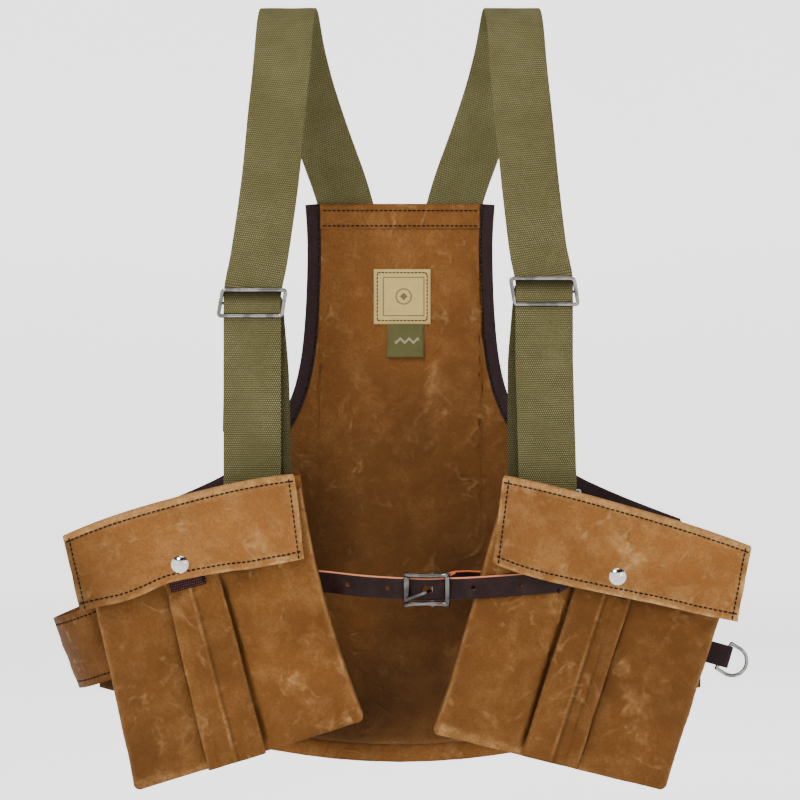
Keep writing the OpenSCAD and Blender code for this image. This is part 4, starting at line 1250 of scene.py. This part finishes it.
m.operation, m.object, m.solver = "DIFFERENCE", cube, "EXACT"
bake(bstrap)
bpy.data.objects.remove(cube)

# ---------------------------------------------------------------- buckle frame
a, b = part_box("buckle_frame")
zt = (b[2] - a[2]) / 2 - 2.1 * MM
x0, x1 = roll[0], b[0] - 2.7 * MM
y0, y1 = roll[1], roll[1] - 1.0 * MM


def rail(k):
    """One long side of the frame: thick rounded ends and a slimmer waist."""
    t = np.linspace(0, 1, 17)
    x = x0 + (x1 - x0) * t
    bow = 0.7 * MM * np.sin(t * math.pi)
    path = np.stack([x, y0 + (y1 - y0) * t, bz + k * (zt - 0.3 * MM - bow)], 1)
    r = 1.75 * MM + 0.75 * MM * np.abs(2 * t - 1) ** 5
    return tube("w", path, r, CHROME_PAINTED_DARKER, seg=18, depth=r * 1.15)


def knob(x, y, z0, z1, r):
    """A bar or lug with rounded ends, along Z."""
    t = np.linspace(0, 1, 21)
    e = np.minimum(1, np.sqrt(np.maximum(0, 1 - np.clip(1 - np.minimum(t, 1 - t) * abs(z1 - z0) / r, 0, 1) ** 2)))
    return tube("w", [(x, y, z0 + (z1 - z0) * q) for q in t], r * np.maximum(e, 0.05), CHROME_PAINTED_DARKER, seg=20)


bits = [rail(-1), rail(1)]
for k in (-1, 1):
    inner, outer = bz + k * (zt - 2.0 * MM), bz + k * (zt + 2.0 * MM)
    bits.append(knob(x0, y0, inner, outer, 3.3 * MM))
    bits.append(knob(x1, y1 + 0.4 * MM, inner, outer, 2.9 * MM))
    bits.append(tube("w", [(pk[0], roll[1], bz + k * zt), (pk[0], pk[1] + 0.6 * MM, bz + k * zt)], 1.9 * MM, CHROME_PAINTED_DARKER, seg=18))
bits.append(tube("w", [(x1, y1, z) for z in np.linspace(bz - zt, bz + zt, 8)], 2.4 * MM, CHROME_PAINTED_DARKER, seg=20))
bits.append(tube("w", [(x0, y0, z) for z in np.linspace(bz - zt, bz + zt, 4)], 2.0 * MM, CHROME_PAINTED_DARKER, seg=18))
bits.append(tube("w", [(pk[0], pk[1], z) for z in np.linspace(bz - zt, bz + zt, 6)], 1.4 * MM, CHROME_PAINTED_DARKER, seg=18))
buckle = join("buckle_frame_cast", bits)

# ---------------------------------------------------------------- thread on the panel
x_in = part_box("top_facing")[1][0] - 3 * MM
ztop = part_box("top_facing")[1][2]
hem = [[(x, 0, ztop - k) for x in np.linspace(-x_in, x_in, 40)] for k in (5.5 * MM, 19.5 * MM)]
hem_thread = stitches("hem_thread", hem, THREAD, [facing, panel], (0, 1, 0), back=0.065)
la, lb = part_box("label_patch")
k = 3.2 * MM
box_run = [(la[0] + k, 0, la[2] + k), (lb[0] - k, 0, la[2] + k), (lb[0] - k, 0, lb[2] - k), (la[0] + k, 0, lb[2] - k), (la[0] + k, 0, la[2] + k)]
label_thread = stitches("label_thread", [box_run], THREAD, [label], (0, 1, 0), pitch=3.4 * MM, length=2.8 * MM, radius=0.5 * MM, back=0.065)
bind_thread = [stitches("binding_thread_left", [line_l], THREAD, [bind_left], (0, 1, 0), back=0.03),
               stitches("binding_thread_right", [line_r], THREAD, [bind_right], (0, 1, 0), back=0.03)]
cross = []
for side, s in (("left", -1), ("right", 1)):
    t = straps[side]
    zc = ztop - 34 * MM
    c = cut(tris(side + "_strap"), 2, zc, lambda p: p[:, 1] > 20 * MM)
    xc = (c[:, 0].min() + c[:, 0].max()) / 2
    w_, h_ = 19 * MM, 17 * MM
    q = [(xc - w_, 0.12, zc - h_), (xc + w_, 0.12, zc - h_), (xc + w_, 0.12, zc + h_), (xc - w_, 0.12, zc + h_), (xc - w_, 0.12, zc - h_),
         (xc + w_, 0.12, zc + h_)]
    cross += [q, [(xc - w_, 0.12, zc + h_), (xc + w_, 0.12, zc - h_)]]
cross_thread = stitches("strap_box_thread", cross, THREAD, [straps["left"], straps["right"]], (0, -1, 0), back=0.065)
pouch_rows = [pouch_grid[-1 - k, 4:-4] + np.array([0, 0.03, 0]) for k in (2, 5)]
pouch_thread = stitches("pouch_thread", pouch_rows, THREAD, [pouch], (0, -1, 0), back=0.065)

# ---------------------------------------------------------------- riding, standing in
def vest(ob, slot, *nodes):
    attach(ob, "vest")
    if nodes:
        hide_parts(*nodes)


vest(panel, "canvas", "back_panel")
vest(facing, "canvas", "top_facing")
vest(pouch, "canvas", "rear_pouch")
vest(bind_left, "brown_webbing", "left_armhole_binding")
vest(bind_right, "brown_webbing", "right_armhole_binding")
vest(label, "label", "label_patch")
vest(tag, "tag", "side_tag")
vest(dtab, "brown_webbing", "d_ring_tab")
vest(billet, "leather", "billet_strap")
vest(bstrap, "leather", "buckle_strap")
vest(buckle, "nickel", "buckle_frame")
for o in (hem_thread, label_thread, cross_thread, pouch_thread, *bind_thread):
    vest(o, "brown_webbing")
for side in ("left", "right"):
    k = pockets[side]
    vest(straps[side], "olive_webbing", side + "_strap")
    vest(tails[side], "brown_webbing", side + "_ring_tab")
    vest(k["bag"], "canvas", side + "_pocket_front")
    vest(k["rear"], "canvas", side + "_pocket_back")
    vest(k["strip"], "canvas", side + "_pleat_strip")
    vest(k["tab"], "brown_webbing", side + "_stud_tab")
    vest(k["band"], "canvas", side + "_side_band")
    for o in (k["rear_thread"], k["tack"], *k["band_thread"]):
        vest(o, "brown_webbing")
    hh = k["h"]
    s0, s1 = hh.out(0, J[side + "_flap_hinge"]["pos_m"][1], -1 * MM), hh.out(0, J[side + "_flap_hinge"]["pos_m"][1], -15 * MM)
    for o in (k["flap"], k["flap_thread"]):
        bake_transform(o)
    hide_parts(side + "_flap", side + "_flap_root")
    j = J[side + "_slider_slide"]["pos_m"]
    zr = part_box(side + "_strap_ring")[1][2]
    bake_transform(loops[side])
    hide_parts(side + "_strap_loop")
    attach(humps[side], side + "_slider")
    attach(sliders[side], side + "_slider")
    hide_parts(side + "_slider")

for name in ("left_strap_ring", "right_strap_ring", "left_snap_cap", "right_snap_cap", "left_snap_socket", "right_snap_socket",
             "left_snap_stud", "right_snap_stud", "left_snap_post", "right_snap_post", "d_ring", "buckle_roller", "buckle_tongue"):
    o = frame["nodes"][name]
    o.data.materials.clear()
    o.data.materials.append(NICKEL if "snap" in name else CHROME_PAINTED_DARKER if "buckle" in name else CHROME)

for ob, node, rest in ((label, "label_patch", "back_panel"), (tag, "side_tag", "label_patch")):
    a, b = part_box(node)

# ---------------------------------------------------------------- room, light, camera
low, high = Vector(FIRST[0]), Vector(FIRST[1])
size = high - low
centre = (low + high) / 2
stage = Shader("studio_paper", Roughness=0.95, Specular_IOR_Level=0.05)
stage.b.inputs["Emission Color"].default_value = (1, 1, 1, 1)
stage.b.inputs["Emission Strength"].default_value = 1.12
tone = stage.noise(stage.coords(), 1.2, 2)
stage.to("Base Color", stage.mix(stage.fit(tone, 0.3, 0.7), (0.90, 0.90, 0.895), (0.93, 0.93, 0.925)))
floor_z = low[2] - 0.16
prof = [(0.0005, floor_z), (1.5, floor_z), (4.4, floor_z)]
prof += [(4.4 + 1.1 * math.sin(t), floor_z + 1.1 - 1.1 * math.cos(t)) for t in np.linspace(0.1, math.pi / 2, 12)] + [(5.5, floor_z + 3.8)]
P = np.array([[(r * math.cos(t), r * math.sin(t), z) for t in np.linspace(0, 2 * math.pi, 73)] for r, z in prof])
grid("studio_sweep", P, stage.m, flip=True)


def lamp(name, at, target, size_, power, tint=(1, 1, 1)):
    d = bpy.data.lights.new(name, "AREA")
    d.shape, d.size, d.energy, d.color = "SQUARE", size_, power, tint
    o = bpy.data.objects.new(name, d)
    o.location = at
    o.rotation_euler = (Vector(target) - Vector(at)).to_track_quat("-Z", "Y").to_euler()
    o.visible_camera = False
    bpy.context.scene.collection.objects.link(o)


lamp("key", (-0.8, -1.6, 1.45), centre, 0.6, 66)
lamp("fill", (1.6, -1.8, 0.3), centre, 1.1, 8)
lamp("top", (0.1, -0.35, 1.5), centre, 1.0, 16)
lamp("rim", (0.6, 1.4, 0.9), centre, 1.2, 20)
world = bpy.data.worlds.new("studio")
bpy.context.scene.world = world
world.use_nodes = True
world.node_tree.nodes["Background"].inputs["Color"].default_value = (0.95, 0.97, 1.0, 1)
world.node_tree.nodes["Background"].inputs["Strength"].default_value = 0.05

cam = bpy.data.cameras.new("camera")
cam.lens = 106
camera = bpy.data.objects.new("camera", cam)
bpy.context.scene.collection.objects.link(camera)
camera.location = (0.0, -2.1, centre.z - 5.4 * MM)
camera.rotation_euler = (math.pi / 2, 0, 0)
bpy.context.scene.camera = camera
